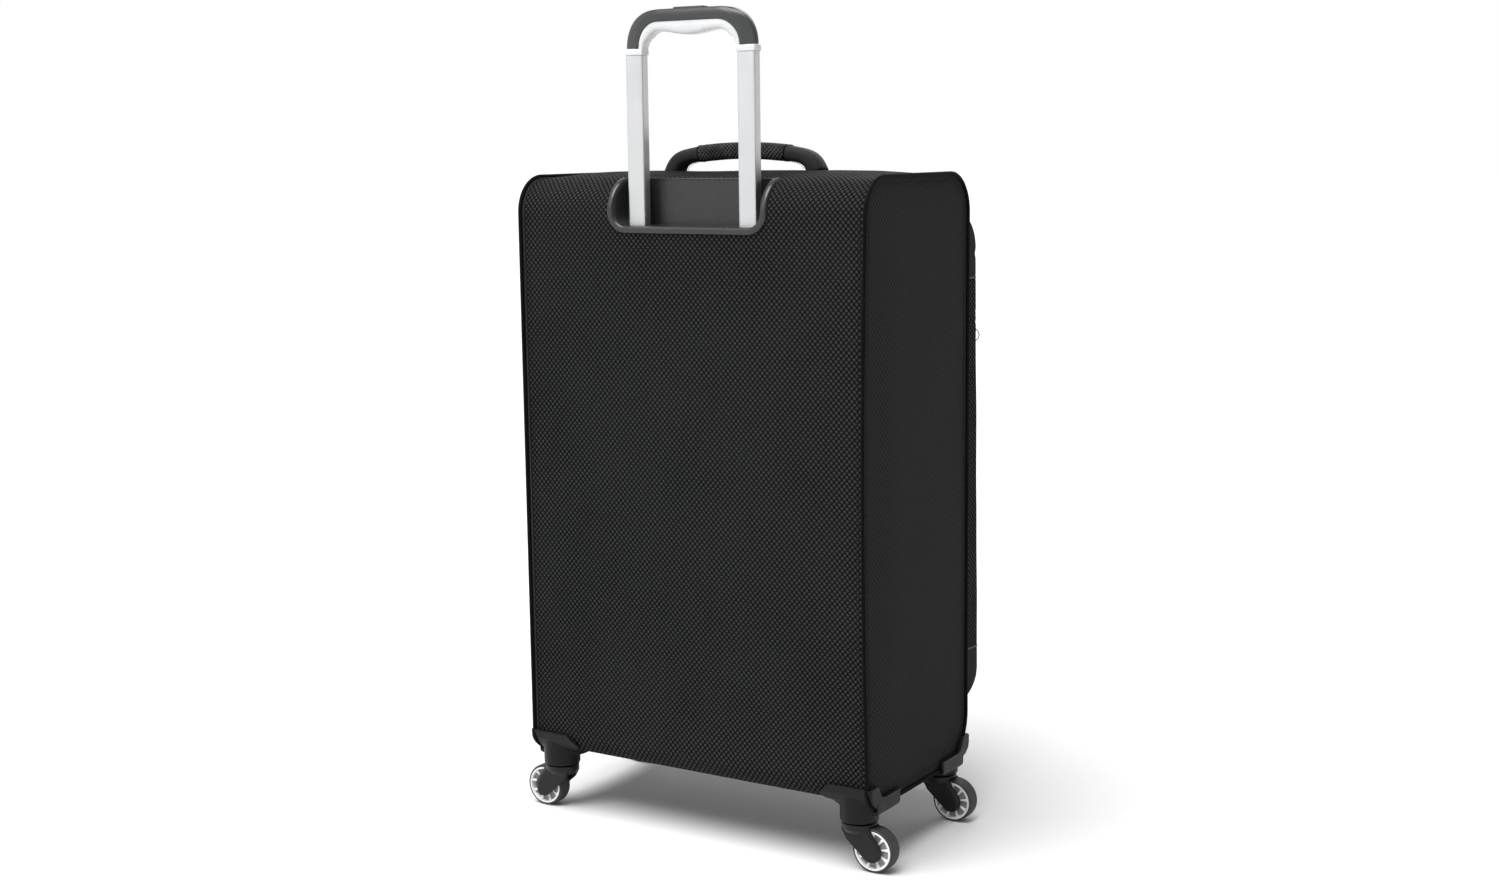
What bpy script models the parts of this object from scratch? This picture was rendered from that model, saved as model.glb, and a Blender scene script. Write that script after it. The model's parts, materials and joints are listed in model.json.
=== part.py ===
"""Softside upright suitcase on four spinner casters, with its trolley handle pulled out.

Case frame, in metres: +Z up from the floor, +X and -X are the two narrow sides, -Y is the front
with the lid and its pockets, +Y is the back with the trolley. The whole case frame is moved back
by CASE_Y, so that the world origin lies under the middle of the bounding box.
"""

import math

import bmesh
import bpy
from mathutils import Matrix, Vector

# --- driving dimensions -------------------------------------------------------------------------
GAP = 0.0003            # between pieces that touch

CASE_HALF_WIDTH = 0.234     # to the middle of the piping
CASE_HALF_DEPTH = 0.1234
CASE_TOP = 0.7725
CASE_BOTTOM = 0.0745
EDGE_RADII = (0.024, 0.042, 0.045, 0.055)   # back bottom, back top, front top, front bottom
BACK_BOTTOM_FULLNESS = 0.004    # the back bottom edge is rounder half way along
TOP_CROWN = 0.011       # rise of the stuffed top at its middle
CLOTH_INSET = 0.003     # the cloth lies this far inside the piping
WALL = 0.003            # cloth, foam and board together
PIPING_RADIUS = 0.0024

CASE_Y = 0.02703        # see the module's first lines

LID_HALF_WIDTH = 0.2262
LID_BOTTOM, LID_TOP = 0.118, 0.7365
LID_GAP = 0.0014        # the main zip runs in it
LID_HINGE = (0.2375, -0.127)

POCKET_HALF_WIDTH = 0.2245
POCKET_BOTTOM, POCKET_SPLIT, POCKET_TOP = 0.136, 0.6105, 0.731
POCKET_DEPTH_LOW, POCKET_DEPTH_HIGH = 0.0600, 0.0505
POCKET_SHEET = 0.002
UPPER_ZIP_Z, LOWER_ZIP_Z = 0.680, 0.6015
POCKET_ZIP_HALF = 0.2165

TUBE_X, TUBE_Y = 0.0754, 0.1015
TUBE_SIZE = (0.023, 0.0135)
TUBE_WALL = 0.0013
TUBE_BOTTOM, TUBE_TOP = 0.600, 0.9132
CHANNEL_WALL = 0.0012
CHANNEL_BOTTOM = 0.135
TROLLEY_TRAVEL = 0.180
BUTTON_HALF_LENGTH, BUTTON_HALF_DEPTH = 0.0205, 0.0070
BUTTON_BOTTOM, BUTTON_TOP = 0.9575, 0.9655

CUP_FLOOR = 0.722
CUP_BOTTOM = 0.714
CUP_HALF = 0.1065
CUP_INNER_Y = 0.0865
CUP_WALL = 0.0025
CUP_LIP = 0.0024        # the rim stands this far out of the cloth

CASTER_X, CASTER_Y = 0.2106, 0.0997
CASTER_TRAIL = 0.0214
WHEEL_RADIUS = 0.0254
TYRE_HALF_WIDTH = 0.0098
HUB_RADIUS = 0.0230
AXLE_RADIUS = 0.003
HOUSING_RADIUS = 0.0222
FORK_CAP_RADIUS = 0.0208
HOUSING_BOTTOM = 0.0570
FORK_TOP = 0.0553
FORK_LEG_INNER, FORK_LEG_OUTER = 0.0104, 0.0136

GUARD_HALF_WIDTH, GUARD_HALF_DEPTH = 0.2393, 0.1275
GUARD_TOP, GUARD_BOTTOM = 0.1015, 0.0667

HANDLE_Y = -0.0075      # the top carry handle's middle
HANDLE_HALF = 0.098     # from its middle to the middle of a foot
SIDE_HANDLE_Z = 0.425

# Main-zip sliders hang one above the other beside the lid's free edge.
MAIN_ZIP_X = -0.2274
UPPER_SLIDER_Z, LOWER_SLIDER_Z = 0.625, 0.592

# --- collections and materials ------------------------------------------------------------------
for leftover in list(bpy.context.scene.objects):
    bpy.data.objects.remove(leftover, do_unlink=True)

PARTS = bpy.data.collections.new("softside_suitcase")
CUTTERS = bpy.data.collections.new("cutters")
for group in (PARTS, CUTTERS):
    bpy.context.scene.collection.children.link(group)


def material(name, colour, roughness, metallic=0.0):
    found = bpy.data.materials.new(name)
    found.use_nodes = True
    shader = found.node_tree.nodes["Principled BSDF"]
    shader.inputs["Base Color"].default_value = (*colour, 1.0)
    shader.inputs["Roughness"].default_value = roughness
    shader.inputs["Metallic"].default_value = metallic
    found.diffuse_color = (*colour, 1.0)
    return found


CLOTH = material("embossed_polyester", (0.020, 0.020, 0.022), 0.85)
WEBBING = material("webbing", (0.016, 0.016, 0.017), 0.90)
PIPING = material("piping_cord", (0.011, 0.011, 0.012), 0.60)
LINING = material("lining_cloth", (0.060, 0.062, 0.068), 0.90)
BOARD = material("honeycomb_board", (0.045, 0.045, 0.048), 0.70)
MOULDED = material("moulded_black", (0.022, 0.022, 0.024), 0.42)
GRIP_DARK = material("grip_dark_satin", (0.055, 0.055, 0.058), 0.35)
SILVER_PLASTIC = material("silver_plastic", (0.62, 0.62, 0.64), 0.38)
ALUMINIUM = material("satin_aluminium", (0.76, 0.76, 0.78), 0.30, 1.0)
STEEL = material("spring_steel", (0.42, 0.42, 0.43), 0.35, 1.0)
RIM = material("bright_rim", (0.72, 0.72, 0.74), 0.25, 0.6)
TYRE = material("tyre_rubber", (0.045, 0.045, 0.047), 0.65)
ZIP_TAPE = material("zip_tape", (0.012, 0.012, 0.013), 0.75)
ZIP_METAL = material("zip_metal", (0.34, 0.34, 0.35), 0.30, 1.0)


# --- tools --------------------------------------------------------------------------------------
def empty(name, location, parent=None):
    """A pivot: its children turn or slide about it."""
    pivot = bpy.data.objects.new(name, None)
    pivot.empty_display_size = 0.02
    pivot.location = location
    pivot.parent = parent
    PARTS.objects.link(pivot)
    return pivot


CASE = empty("case_frame", (0.0, CASE_Y, 0.0))


def pivot_place(pivot):
    """Where a pivot stands in the case frame."""
    place = Vector((0.0, 0.0, 0.0))
    while pivot is not None and pivot is not CASE:
        place += pivot.location
        pivot = pivot.parent
    return place


def attach(obj, pivot=CASE):
    """Hang an object modelled in the case frame on a pivot, without moving it."""
    obj.parent = pivot
    obj.location = obj.location - pivot_place(pivot)
    return obj


def part(name, mesh, finish, pivot=CASE):
    """One named piece, modelled in the case frame."""
    obj = bpy.data.objects.new(name, mesh)
    mesh.materials.append(finish)
    mesh.shade_smooth()
    mesh.set_sharp_from_angle(angle=math.radians(35))
    PARTS.objects.link(obj)
    return attach(obj, pivot)


def cutter(name, mesh, pivot=CASE):
    obj = bpy.data.objects.new(name, mesh)
    obj.hide_render = True
    obj.display_type = "WIRE"
    CUTTERS.objects.link(obj)
    return attach(obj, pivot)


def boolean(obj, other, operation="DIFFERENCE"):
    step = obj.modifiers.new(other.name, "BOOLEAN")
    step.operation = operation
    step.object = other


def finished(name, build):
    build.normal_update()
    bmesh.ops.recalc_face_normals(build, faces=build.faces)
    mesh = bpy.data.meshes.new(name)
    build.to_mesh(mesh)
    build.free()
    return mesh


def loft(name, rings, closed=False):
    """A skin through rings of equally many points, capped at both ends unless it closes."""
    build = bmesh.new()
    rows = [[build.verts.new(point) for point in ring] for ring in rings]
    count = len(rows[0])
    pairs = list(zip(rows, rows[1:]))
    if closed:
        pairs.append((rows[-1], rows[0]))
    for low, high in pairs:
        for i in range(count):
            j = (i + 1) % count
            build.faces.new((low[i], low[j], high[j], high[i]))
    if not closed:
        build.faces.new(rows[0])
        build.faces.new(rows[-1])
    return finished(name, build)


def open_skin(name, rings):
    """The same without caps: a sleeve for Solidify."""
    build = bmesh.new()
    rows = [[build.verts.new(point) for point in ring] for ring in rings]
    count = len(rows[0])
    for low, high in zip(rows, rows[1:]):
        for i in range(count):
            j = (i + 1) % count
            build.faces.new((low[i], low[j], high[j], high[i]))
    return finished(name, build)


def prism(name, outline, axis, low, high):
    """A flat outline drawn across an axis and pushed along it."""
    def place(pair, along):
        point = list(pair)
        point.insert(axis, along)
        return point
    return loft(name, [[place(p, low) for p in outline], [place(p, high) for p in outline]])


def block(name, low, high, edge=0.0, segments=2):
    """A box between two corners, with its edges rounded."""
    build = bmesh.new()
    bmesh.ops.create_cube(build, size=1.0)
    size = Vector(high) - Vector(low)
    middle = (Vector(high) + Vector(low)) / 2
    bmesh.ops.scale(build, vec=size, verts=build.verts)
    if edge:
        bmesh.ops.bevel(build, geom=build.edges, offset=edge, segments=segments, affect="EDGES",
                        profile=0.5)
    bmesh.ops.translate(build, vec=middle, verts=build.verts)
    return finished(name, build)


def rod(name, radius, start, end, sides=16):
    """A straight round bar between two points."""
    start, end = Vector(start), Vector(end)
    build = bmesh.new()
    turn = (end - start).to_track_quat("Z", "Y").to_matrix().to_4x4()
    bmesh.ops.create_cone(build, cap_ends=True, segments=sides, radius1=radius, radius2=radius,
                          depth=(end - start).length,
                          matrix=Matrix.Translation((start + end) / 2) @ turn)
    return finished(name, build)


def wire(name, points, radius, finish, pivot=CASE, cyclic=True):
    """A round cord or wire along a path."""
    curve = bpy.data.curves.new(name, "CURVE")
    curve.dimensions = "3D"
    curve.bevel_depth = radius
    curve.bevel_resolution = 2
    curve.use_fill_caps = True
    spline = curve.splines.new("POLY")
    spline.points.add(len(points) - 1)
    for knot, point in zip(spline.points, points):
        knot.co = (*point, 1.0)
    spline.use_cyclic_u = cyclic
    curve.materials.append(finish)
    obj = bpy.data.objects.new(name, curve)
    PARTS.objects.link(obj)
    return attach(obj, pivot)


def turned(name, profile, finish, pivot, steps=28):
    """A closed profile of (radius, along) turned about the pivot's Y axis."""
    mesh = bpy.data.meshes.new(name)
    points = [(radius, 0.0, along) for radius, along in profile]
    edges = [(i, (i + 1) % len(points)) for i in range(len(points))]
    mesh.from_pydata(points, edges, [])
    mesh.materials.append(finish)
    obj = bpy.data.objects.new(name, mesh)
    spin = obj.modifiers.new("turned", "SCREW")
    spin.steps = steps
    spin.render_steps = steps
    spin.use_merge_vertices = True
    spin.merge_threshold = 0.00001
    spin.use_smooth_shade = True
    obj.rotation_euler = (math.radians(90), 0.0, 0.0)
    obj.parent = pivot
    PARTS.objects.link(obj)
    return obj


def arc(centre, radius, start, end, steps):
    """Points on an arc, its angles in degrees."""
    found = []
    for i in range(steps + 1):
        angle = math.radians(start + (end - start) * i / steps)
        found.append((centre[0] + radius * math.cos(angle), centre[1] + radius * math.sin(angle)))
    return found


# --- the case's form ----------------------------------------------------------------------------
def case_outline(inset=0.0, x=None, steps=6):
    """The case's upright outline (y, z) at one place across its width."""
    middle = 0.0 if x is None else max(0.0, 1.0 - (x / CASE_HALF_WIDTH) ** 2)
    radii = list(EDGE_RADII)
    radii[0] += BACK_BOTTOM_FULLNESS * middle
    half, low, high = CASE_HALF_DEPTH - inset, CASE_BOTTOM + inset, CASE_TOP - inset
    sides = ((1, -1, -90), (1, 1, 0), (-1, 1, 90), (-1, -1, 180))
    points = []
    for (side_y, side_z, start), radius in zip(sides, radii):
        bend = radius - inset
        centre = (side_y * (half - bend), high - bend if side_z > 0 else low + bend)
        points += arc(centre, bend, start, start + 90, steps)
    if x is None:
        return points
    # The stuffed top stands highest at the middle and falls away to the seams.
    def crowned(y, z):
        share = max(0.0, 1.0 - (y / CASE_HALF_DEPTH) ** 2) if z > CASE_TOP - 0.06 else 0.0
        return y, z + TOP_CROWN * middle * share * min(1.0, (z - CASE_TOP + 0.06) / 0.05)
    return [crowned(y, z) for y, z in points]


def case_rings(inset, half_width, stations=9):
    rings = []
    for i in range(stations):
        x = -half_width + 2 * half_width * i / (stations - 1)
        rings.append([(x, y, z) for y, z in case_outline(inset, x)])
    return rings


def case_body(name, inset, half_width):
    """The case's whole form as one solid, to cut with."""
    return cutter(name, loft(name, case_rings(inset, half_width)))


def lid_window(name, grow):
    return cutter(name, block(name, (-LID_HALF_WIDTH - grow, -0.16, LID_BOTTOM - grow),
                              (LID_HALF_WIDTH + grow, -0.085, LID_TOP + grow), 0.012, 3))


def cup_outline(grow=0.0):
    """The trolley cup seen from behind (x, z): upright sides and a rounded foot."""
    foot, corner = CUP_BOTTOM - grow, 0.020
    half = arc((CUP_HALF + grow - corner, foot + corner), corner, -90, 0, 5)
    half.append((CUP_HALF + grow, 0.81))
    return [(-x, z) for x, z in reversed(half)] + half


# --- soft case ----------------------------------------------------------------------------------
def make_wrap_and_lid():
    """One band of cloth makes back, top and bottom; the lid is cut out of its front."""
    half = CASE_HALF_WIDTH - PIPING_RADIUS - GAP
    for name, window, operation in (("shell_wrap", lid_window("lid_window", LID_GAP), "DIFFERENCE"),
                                    ("lid_panel", lid_window("lid_outline", 0.0), "INTERSECT")):
        pivot = CASE if name == "shell_wrap" else LID
        obj = part(name, open_skin(name, case_rings(CLOTH_INSET, half)), CLOTH, pivot)
        wall = obj.modifiers.new("wall", "SOLIDIFY")
        wall.thickness = WALL
        wall.offset = -1.0
        boolean(obj, window, operation)
        if name == "shell_wrap":
            outline = cup_outline(-0.0060 + GAP)
            start = CUP_INNER_Y - CUP_WALL - GAP
            boolean(obj, cutter("cup_cutout", prism("cup_cutout", outline, 1, start, 0.14)))


def make_side_panels():
    inset = PIPING_RADIUS + GAP
    for name, side in (("side_panel_right", -1), ("side_panel_left", 1)):
        outer = side * (CASE_HALF_WIDTH - 0.0008)
        inner = side * (CASE_HALF_WIDTH - 0.0024)
        rings = [[(x, y, z) for y, z in case_outline(inset, steps=5)] for x in (inner, outer)]
        part(name, loft(name, rings), CLOTH)


def make_pipings_and_wires():
    for name, side in (("right", -1), ("left", 1)):
        x = side * CASE_HALF_WIDTH
        loop = [(x, y, z) for y, z in case_outline(steps=6)]
        wire("piping_" + name, loop, PIPING_RADIUS, PIPING)
        x = side * (CASE_HALF_WIDTH - 0.0078)
        loop = [(x, y, z) for y, z in case_outline(0.0105, steps=4)]
        wire("frame_wire_" + name, loop, 0.0015, STEEL)


def piping_groove(name, side):
    """The piping again, a little thicker, as a mesh that can cut."""
    x = side * CASE_HALF_WIDTH
    ring_radius = PIPING_RADIUS + GAP
    outline = case_outline(steps=6)
    rings = []
    count = len(outline)
    for i, (y, z) in enumerate(outline):
        before, after = outline[i - 1], outline[(i + 1) % count]
        run = Vector((0.0, after[0] - before[0], after[1] - before[1])).normalized()
        across = Vector((0.0, run.z, -run.y))
        centre = Vector((x, y, z))
        ring = []
        for k in range(8):
            angle = math.radians(45 * k + 22.5)
            reach = ring_radius / math.cos(math.radians(22.5))
            ring.append(centre + reach * (math.cos(angle) * Vector((1, 0, 0))
                                          + math.sin(angle) * across))
        rings.append(ring)
    return cutter(name, loft(name, rings, closed=True))


def make_main_zip():
    """The zip's tape: a band behind the gap on the lid's two ends and free side."""
    inside = -(CASE_HALF_DEPTH - CLOTH_INSET - WALL - GAP)
    obj = part("main_zip_tape", block("main_zip_tape", (-0.2308, inside, 0.131),
                                      (0.2150, inside + 0.0010, 0.7230)), ZIP_TAPE)
    window = block("zip_tape_window", (-0.2215, inside - 0.01, 0.1395),
                   (0.2400, inside + 0.01, 0.7145))
    boolean(obj, cutter("zip_tape_window", window))


def make_boards():
    # Back board, between the trolley channels and the back cloth.
    outer = CASE_HALF_DEPTH - CLOTH_INSET - WALL - GAP
    part("back_board", block("back_board", (-0.205, outer - 0.0026, 0.150),
                             (0.205, outer, 0.706)), BOARD)
    floor = CASE_BOTTOM + CLOTH_INSET + WALL + GAP
    part("bottom_board", block("bottom_board", (-0.222, -0.062, floor),
                               (0.222, 0.062, floor + 0.003)), BOARD)
    part("lining_panel", block("lining_panel", (-0.2235, 0.0900, 0.100),
                               (0.2235, 0.0912, 0.709)), LINING)


def make_packing_strap():
    """A flat strap across the lining with its buckle in the middle."""
    obj = part("packing_strap", block("packing_strap", (-0.2200, 0.0876, 0.382),
                                      (0.2200, 0.0894, 0.420)), WEBBING)
    buckle = block("buckle", (-0.033, 0.0800, 0.375), (0.033, 0.0894, 0.427), 0.002, 1)
    boolean(obj, cutter("buckle", buckle), "UNION")


# --- carry handles ------------------------------------------------------------------------------
def section(centre, run, thickness, width):
    """An eight-sided section across a path in the XZ plane, cut at its corners."""
    run = Vector(run).normalized()
    up = Vector((-run.z, 0.0, run.x))
    side = Vector((0.0, 1.0, 0.0))
    a, b, cut = thickness / 2, width / 2, min(thickness, width) * 0.27
    corners = ((a - cut, b), (a, b - cut), (a, cut - b), (a - cut, -b),
               (cut - a, -b), (-a, cut - b), (-a, b - cut), (cut - a, b))
    return [Vector(centre) + up * p + side * q for p, q in corners]


def handle_rings(foot_z, rise, half, fullness=1.0):
    """A padded handle: two upright feet and a long, slightly arched grip."""
    right = [((half, foot_z), (0, 1), 0.0215, 0.026), ((half, foot_z + 0.010), (0, 1), 0.021, 0.026),
             ((half - 0.004, foot_z + 0.0195), (-0.8, 1), 0.0205, 0.0255),
             ((half - 0.018, foot_z + rise - 0.0045), (-1, 0.22), 0.0180, 0.0250),
             ((half - 0.038, foot_z + rise - 0.0020), (-1, 0.10), 0.0185, 0.0240),
             ((half - 0.068, foot_z + rise - 0.0005), (-1, 0.03), 0.0195, 0.0235)]
    rows = [((x, z), run, t, w) for (x, z), run, t, w in right]
    rows += [((-x, z), (run[0], -run[1]), t, w) for (x, z), run, t, w in reversed(right)]
    return [section((x, 0.0, z), (run[0], 0.0, run[1]), t * fullness, w)
            for (x, z), run, t, w in rows]


def make_handles():
    rings = handle_rings(0.7800, 0.0270, HANDLE_HALF)
    mesh = loft("carry_handle", [[p + Vector((0, HANDLE_Y, 0)) for p in ring] for ring in rings])
    part("carry_handle", mesh, WEBBING)
    # The side handle is a flatter copy, turned to stand out of the left side panel.
    foot = CASE_HALF_WIDTH - 0.0008 + GAP
    rings = handle_rings(0.0, 0.0190, HANDLE_HALF, 0.45)
    turn = Matrix.Translation((foot, 0.0, SIDE_HANDLE_Z)) @ Matrix.Rotation(math.pi / 2, 4, "Y")
    mesh = loft("side_handle", [[turn @ p for p in ring] for ring in rings])
    part("side_handle", mesh, WEBBING)


# --- lid, pockets and zips ----------------------------------------------------------------------
def pocket_reach(z):
    """How far the filled pockets stand out of the lid at one height."""
    share = (z - 0.19) / 0.49
    full = POCKET_DEPTH_LOW + (POCKET_DEPTH_HIGH - POCKET_DEPTH_LOW) * share
    round_top, round_bottom = 0.045, 0.035
    if z > POCKET_TOP - round_top:
        full *= math.sqrt(max(0.0, 1 - ((z - POCKET_TOP + round_top) / round_top) ** 2))
    if z < POCKET_BOTTOM + round_bottom:
        full *= math.sqrt(max(0.0, 1 - ((POCKET_BOTTOM + round_bottom - z) / round_bottom) ** 2))
    return full


def pocket_rings(low, high, inset):
    """Rings across X through a pocket, with its upright front edges rounded."""
    base = -(CASE_HALF_DEPTH - CLOTH_INSET + GAP)
    lowest, highest = low + inset, high - inset
    steps = 12
    heights = [lowest + (highest - lowest) * (1 - math.cos(math.pi * i / steps)) / 2
               for i in range(steps + 1)]
    half = POCKET_HALF_WIDTH - inset
    rings = []
    for x, fullness in ((-half, 0.86), (-half + 0.0022, 0.955), (-half + 0.0070, 1.0),
                        (half - 0.0070, 1.0), (half - 0.0022, 0.955), (half, 0.86)):
        front = []
        for z in heights:
            reach = max(0.0012, pocket_reach(z) * fullness - inset)
            front.append((x, base - reach, z))
        back = base if inset == 0.0 else base + 0.006
        rings.append([(x, back, highest), (x, back, lowest)] + front)
    return rings


def make_pockets():
    # The lower pocket is the large one; each is a tray that opens onto the lid panel.
    spans = (("pocket_lower", POCKET_BOTTOM, POCKET_SPLIT - 0.0006, LOWER_ZIP_Z),
             ("pocket_upper", POCKET_SPLIT + 0.0006, POCKET_TOP, UPPER_ZIP_Z))
    base = -(CASE_HALF_DEPTH - CLOTH_INSET + GAP)
    for name, low, high, zip_z in spans:
        obj = part(name, loft(name, pocket_rings(low, high, 0.0)), CLOTH, LID)
        hollow = loft(name + "_hollow", pocket_rings(low, high, POCKET_SHEET))
        boolean(obj, cutter(name + "_hollow", hollow, LID))
        front = base - pocket_reach(zip_z)
        mouth = block(name + "_mouth", (-POCKET_ZIP_HALF - 0.0005, front - 0.004, zip_z - 0.0020),
                      (POCKET_ZIP_HALF + 0.0005, front + 0.006, zip_z + 0.0020))
        boolean(obj, cutter(name + "_mouth", mouth, LID))
        zip_name = name.replace("pocket", "pocket_zip")
        strip = block(zip_name, (-POCKET_ZIP_HALF, front - 0.0002, zip_z - 0.0016),
                      (POCKET_ZIP_HALF, front + 0.0014, zip_z + 0.0016))
        part(zip_name, strip, ZIP_TAPE, LID)


def make_slider(name, place, upright, ring):
    """A zip slider with an arch, and its pull hanging by a cross-bar through the arch.

    place is the middle of the slider's back. An upright zip's slider stands along Z, and a
    level zip's lies along X. The pull hangs down either way and swings about X.
    """
    x, y, z = place
    slide = empty(name + "_slide", (x, y, z), LID)
    slide.location = Vector((x, y, z)) - pivot_place(LID)
    half = (0.0022, 0.0045) if upright else (0.0045, 0.0026)
    body = block(name, (x - half[0], y - 0.0022, z - half[1]), (x + half[0], y, z + half[1]),
                 0.0006, 1)
    slider = part(name, body, ZIP_METAL, slide)
    arch = block(name + "_arch", (x - 0.0007, y - 0.0050, z - 0.0026),
                 (x + 0.0007, y - 0.0018, z + 0.0026))
    boolean(slider, cutter(name + "_arch", arch, slide), "UNION")
    hole = block(name + "_hole", (x - 0.003, y - 0.0042, z - 0.0012),
                 (x + 0.003, y - 0.0024, z + 0.0012))
    boolean(slider, cutter(name + "_hole", hole, slide))
    swing = empty(name + "_pull_swing", (0.0, -0.0033, 0.0), slide)
    pin_y = y - 0.0033
    pull = block(name + "_pull", (x - 0.0022, pin_y - 0.0005, z - 0.0130),
                 (x + 0.0022, pin_y + 0.0005, z + 0.0005))
    obj = part(name + "_pull", pull, ZIP_METAL, swing)
    window = block(name + "_window", (x - 0.0013, pin_y - 0.002, z - 0.0045),
                   (x + 0.0013, pin_y + 0.002, z - 0.0005))
    boolean(obj, cutter(name + "_window", window, swing))
    if ring:
        centre = Vector((x, pin_y, z - 0.0130 - 0.0068))
        rings = []
        for i in range(16):
            angle = 2 * math.pi * i / 16
            out = Vector((math.cos(angle), 0.0, math.sin(angle)))
            rings.append([centre + out * (0.0075 + 0.0007 * math.cos(k)) +
                          Vector((0.0, 0.0007 * math.sin(k), 0.0))
                          for k in (0.0, math.pi / 3, 2 * math.pi / 3, math.pi,
                                    4 * math.pi / 3, 5 * math.pi / 3)])
        loop = loft(name + "_ring", rings, closed=True)
        boolean(obj, cutter(name + "_ring", loop, swing), "UNION")


def make_sliders():
    face = -(CASE_HALF_DEPTH - CLOTH_INSET) - GAP
    make_slider("main_slider_upper", (MAIN_ZIP_X, face, UPPER_SLIDER_Z), True, False)
    make_slider("main_slider_lower", (MAIN_ZIP_X, face, LOWER_SLIDER_Z), True, False)
    base = -(CASE_HALF_DEPTH - CLOTH_INSET + GAP)
    for name, x, z, ring in (("pocket_slider_lower", -0.2160, LOWER_ZIP_Z, True),
                             ("pocket_slider_upper", -0.2060, UPPER_ZIP_Z, False)):
        front = base - pocket_reach(z - 0.0026) - 0.0006
        make_slider(name, (x, front, z), False, ring)


# --- corner guards and casters ------------------------------------------------------------------
def make_guard(name, side_x, side_y, body):
    """A moulded corner: wings on the face and the side, a belly, and the caster's housing."""
    def corner_prism(label, outline, axis, low, high):
        mirrored = []
        for a, b in outline:
            if axis == 0:
                mirrored.append((side_y * a, b))
            elif axis == 1:
                mirrored.append((side_x * a, b))
            else:
                mirrored.append((side_x * a, side_y * b))
        if axis == 0:
            low, high = side_x * low, side_x * high
        elif axis == 1:
            low, high = side_y * low, side_y * high
        return prism(name + label, mirrored, axis, low, high)

    face_wing = [(0.2400, GUARD_TOP), (0.1830, 0.1002), (0.1695, 0.0870), (0.1755, 0.0812),
                 (0.1880, 0.0790), (0.1920, 0.060), (0.2400, 0.060)]
    side_wing = [(0.1280, GUARD_TOP), (0.1075, GUARD_TOP), (0.0985, 0.0870), (0.0890, 0.0842),
                 (0.0580, 0.0815), (0.0535, 0.0790), (0.0528, 0.0705), (0.0550, 0.060),
                 (0.1280, 0.060)]
    belly = [(0.1860, 0.1285), (0.1860, 0.0640), (0.1960, 0.0535), (0.2400, 0.0535),
             (0.2400, 0.1285)]
    obj = part(name, corner_prism("", face_wing, 1, 0.1120, 0.1290), MOULDED)
    for label, outline, axis, low, high in (("_side", side_wing, 0, 0.2260, 0.2400),
                                            ("_belly", belly, 2, 0.0600, 0.0850)):
        piece = cutter(name + label, corner_prism(label, outline, axis, low, high))
        boolean(obj, piece, "UNION")
    # The outside is one rounded box corner: three outlines, one across each axis.
    rounded_y = [(0.0, 0.2), (0.0, GUARD_BOTTOM)] + arc(
        (GUARD_HALF_DEPTH - 0.042, GUARD_BOTTOM + 0.042), 0.042, -90, 0, 7) + [(GUARD_HALF_DEPTH, 0.2)]
    rounded_x = [(0.1, 0.2), (0.1, GUARD_BOTTOM)] + arc(
        (GUARD_HALF_WIDTH - 0.018, GUARD_BOTTOM + 0.018), 0.018, -90, 0, 5) + [(GUARD_HALF_WIDTH, 0.2)]
    rounded_z = [(0.1, 0.0), (GUARD_HALF_WIDTH, 0.0)] + arc(
        (GUARD_HALF_WIDTH - 0.007, GUARD_HALF_DEPTH - 0.007), 0.007, 0, 90, 4) + [
        (0.1, GUARD_HALF_DEPTH)]
    for label, outline, axis, low, high in (("_round_y", rounded_y, 0, 0.1, 0.26),
                                            ("_round_x", rounded_x, 1, 0.0, 0.15),
                                            ("_round_z", rounded_z, 2, 0.05, 0.15)):
        piece = cutter(name + label, corner_prism(label, outline, axis, low, high))
        boolean(obj, piece, "INTERSECT")
    boolean(obj, body)
    boolean(obj, GROOVES[side_x])
    x, y = side_x * CASTER_X, side_y * CASTER_Y
    housing = rod(name + "_housing", HOUSING_RADIUS, (x, y, HOUSING_BOTTOM), (x, y, 0.0712), 28)
    boolean(obj, cutter(name + "_housing", housing), "UNION")
    bore = rod(name + "_bore", 0.0048, (x, y, HOUSING_BOTTOM - 0.01), (x, y, 0.0725), 16)
    boolean(obj, cutter(name + "_bore", bore))


def fork_leg(side):
    """One leg of the fork (local frame: the wheel trails towards +X), chamfered behind."""
    wheel = (CASTER_TRAIL, WHEEL_RADIUS)
    low = arc(wheel, 0.0138, 215, 372, 7)
    outline = [(0.0150, 0.0540), (-0.0135, 0.0540), (-0.0155, 0.0505), (-0.0150, 0.0455)] + low
    outline += [(0.0290, 0.0360), (0.0205, 0.0480)]
    inner, middle, outer = FORK_LEG_INNER, FORK_LEG_INNER + 0.0014, FORK_LEG_OUTER
    rings = []
    for y, shift in ((inner, 0.0), (middle, 0.0), (outer, 1.0)):
        ring = []
        for x, z in outline:
            # The outer face is narrower: its rear edge is cut back by a wide chamfer.
            lean = max(0.0, x - (wheel[0] - 0.55 * (z - wheel[1]))) / 0.0138
            ring.append((x - shift * 0.0050 * min(1.0, lean), side * y, z))
        rings.append(ring)
    return rings


def wheel_profile(half, inner, outer, shoulder):
    """A tyre's section (radius, along), running round so that its skin faces out."""
    return [(inner, half), (outer - shoulder, half), (outer - 0.3 * shoulder, half - 0.5 * shoulder),
            (outer, half - 1.6 * shoulder), (outer, 1.6 * shoulder - half),
            (outer - 0.3 * shoulder, 0.5 * shoulder - half), (outer - shoulder, -half),
            (inner, -half)]


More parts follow.
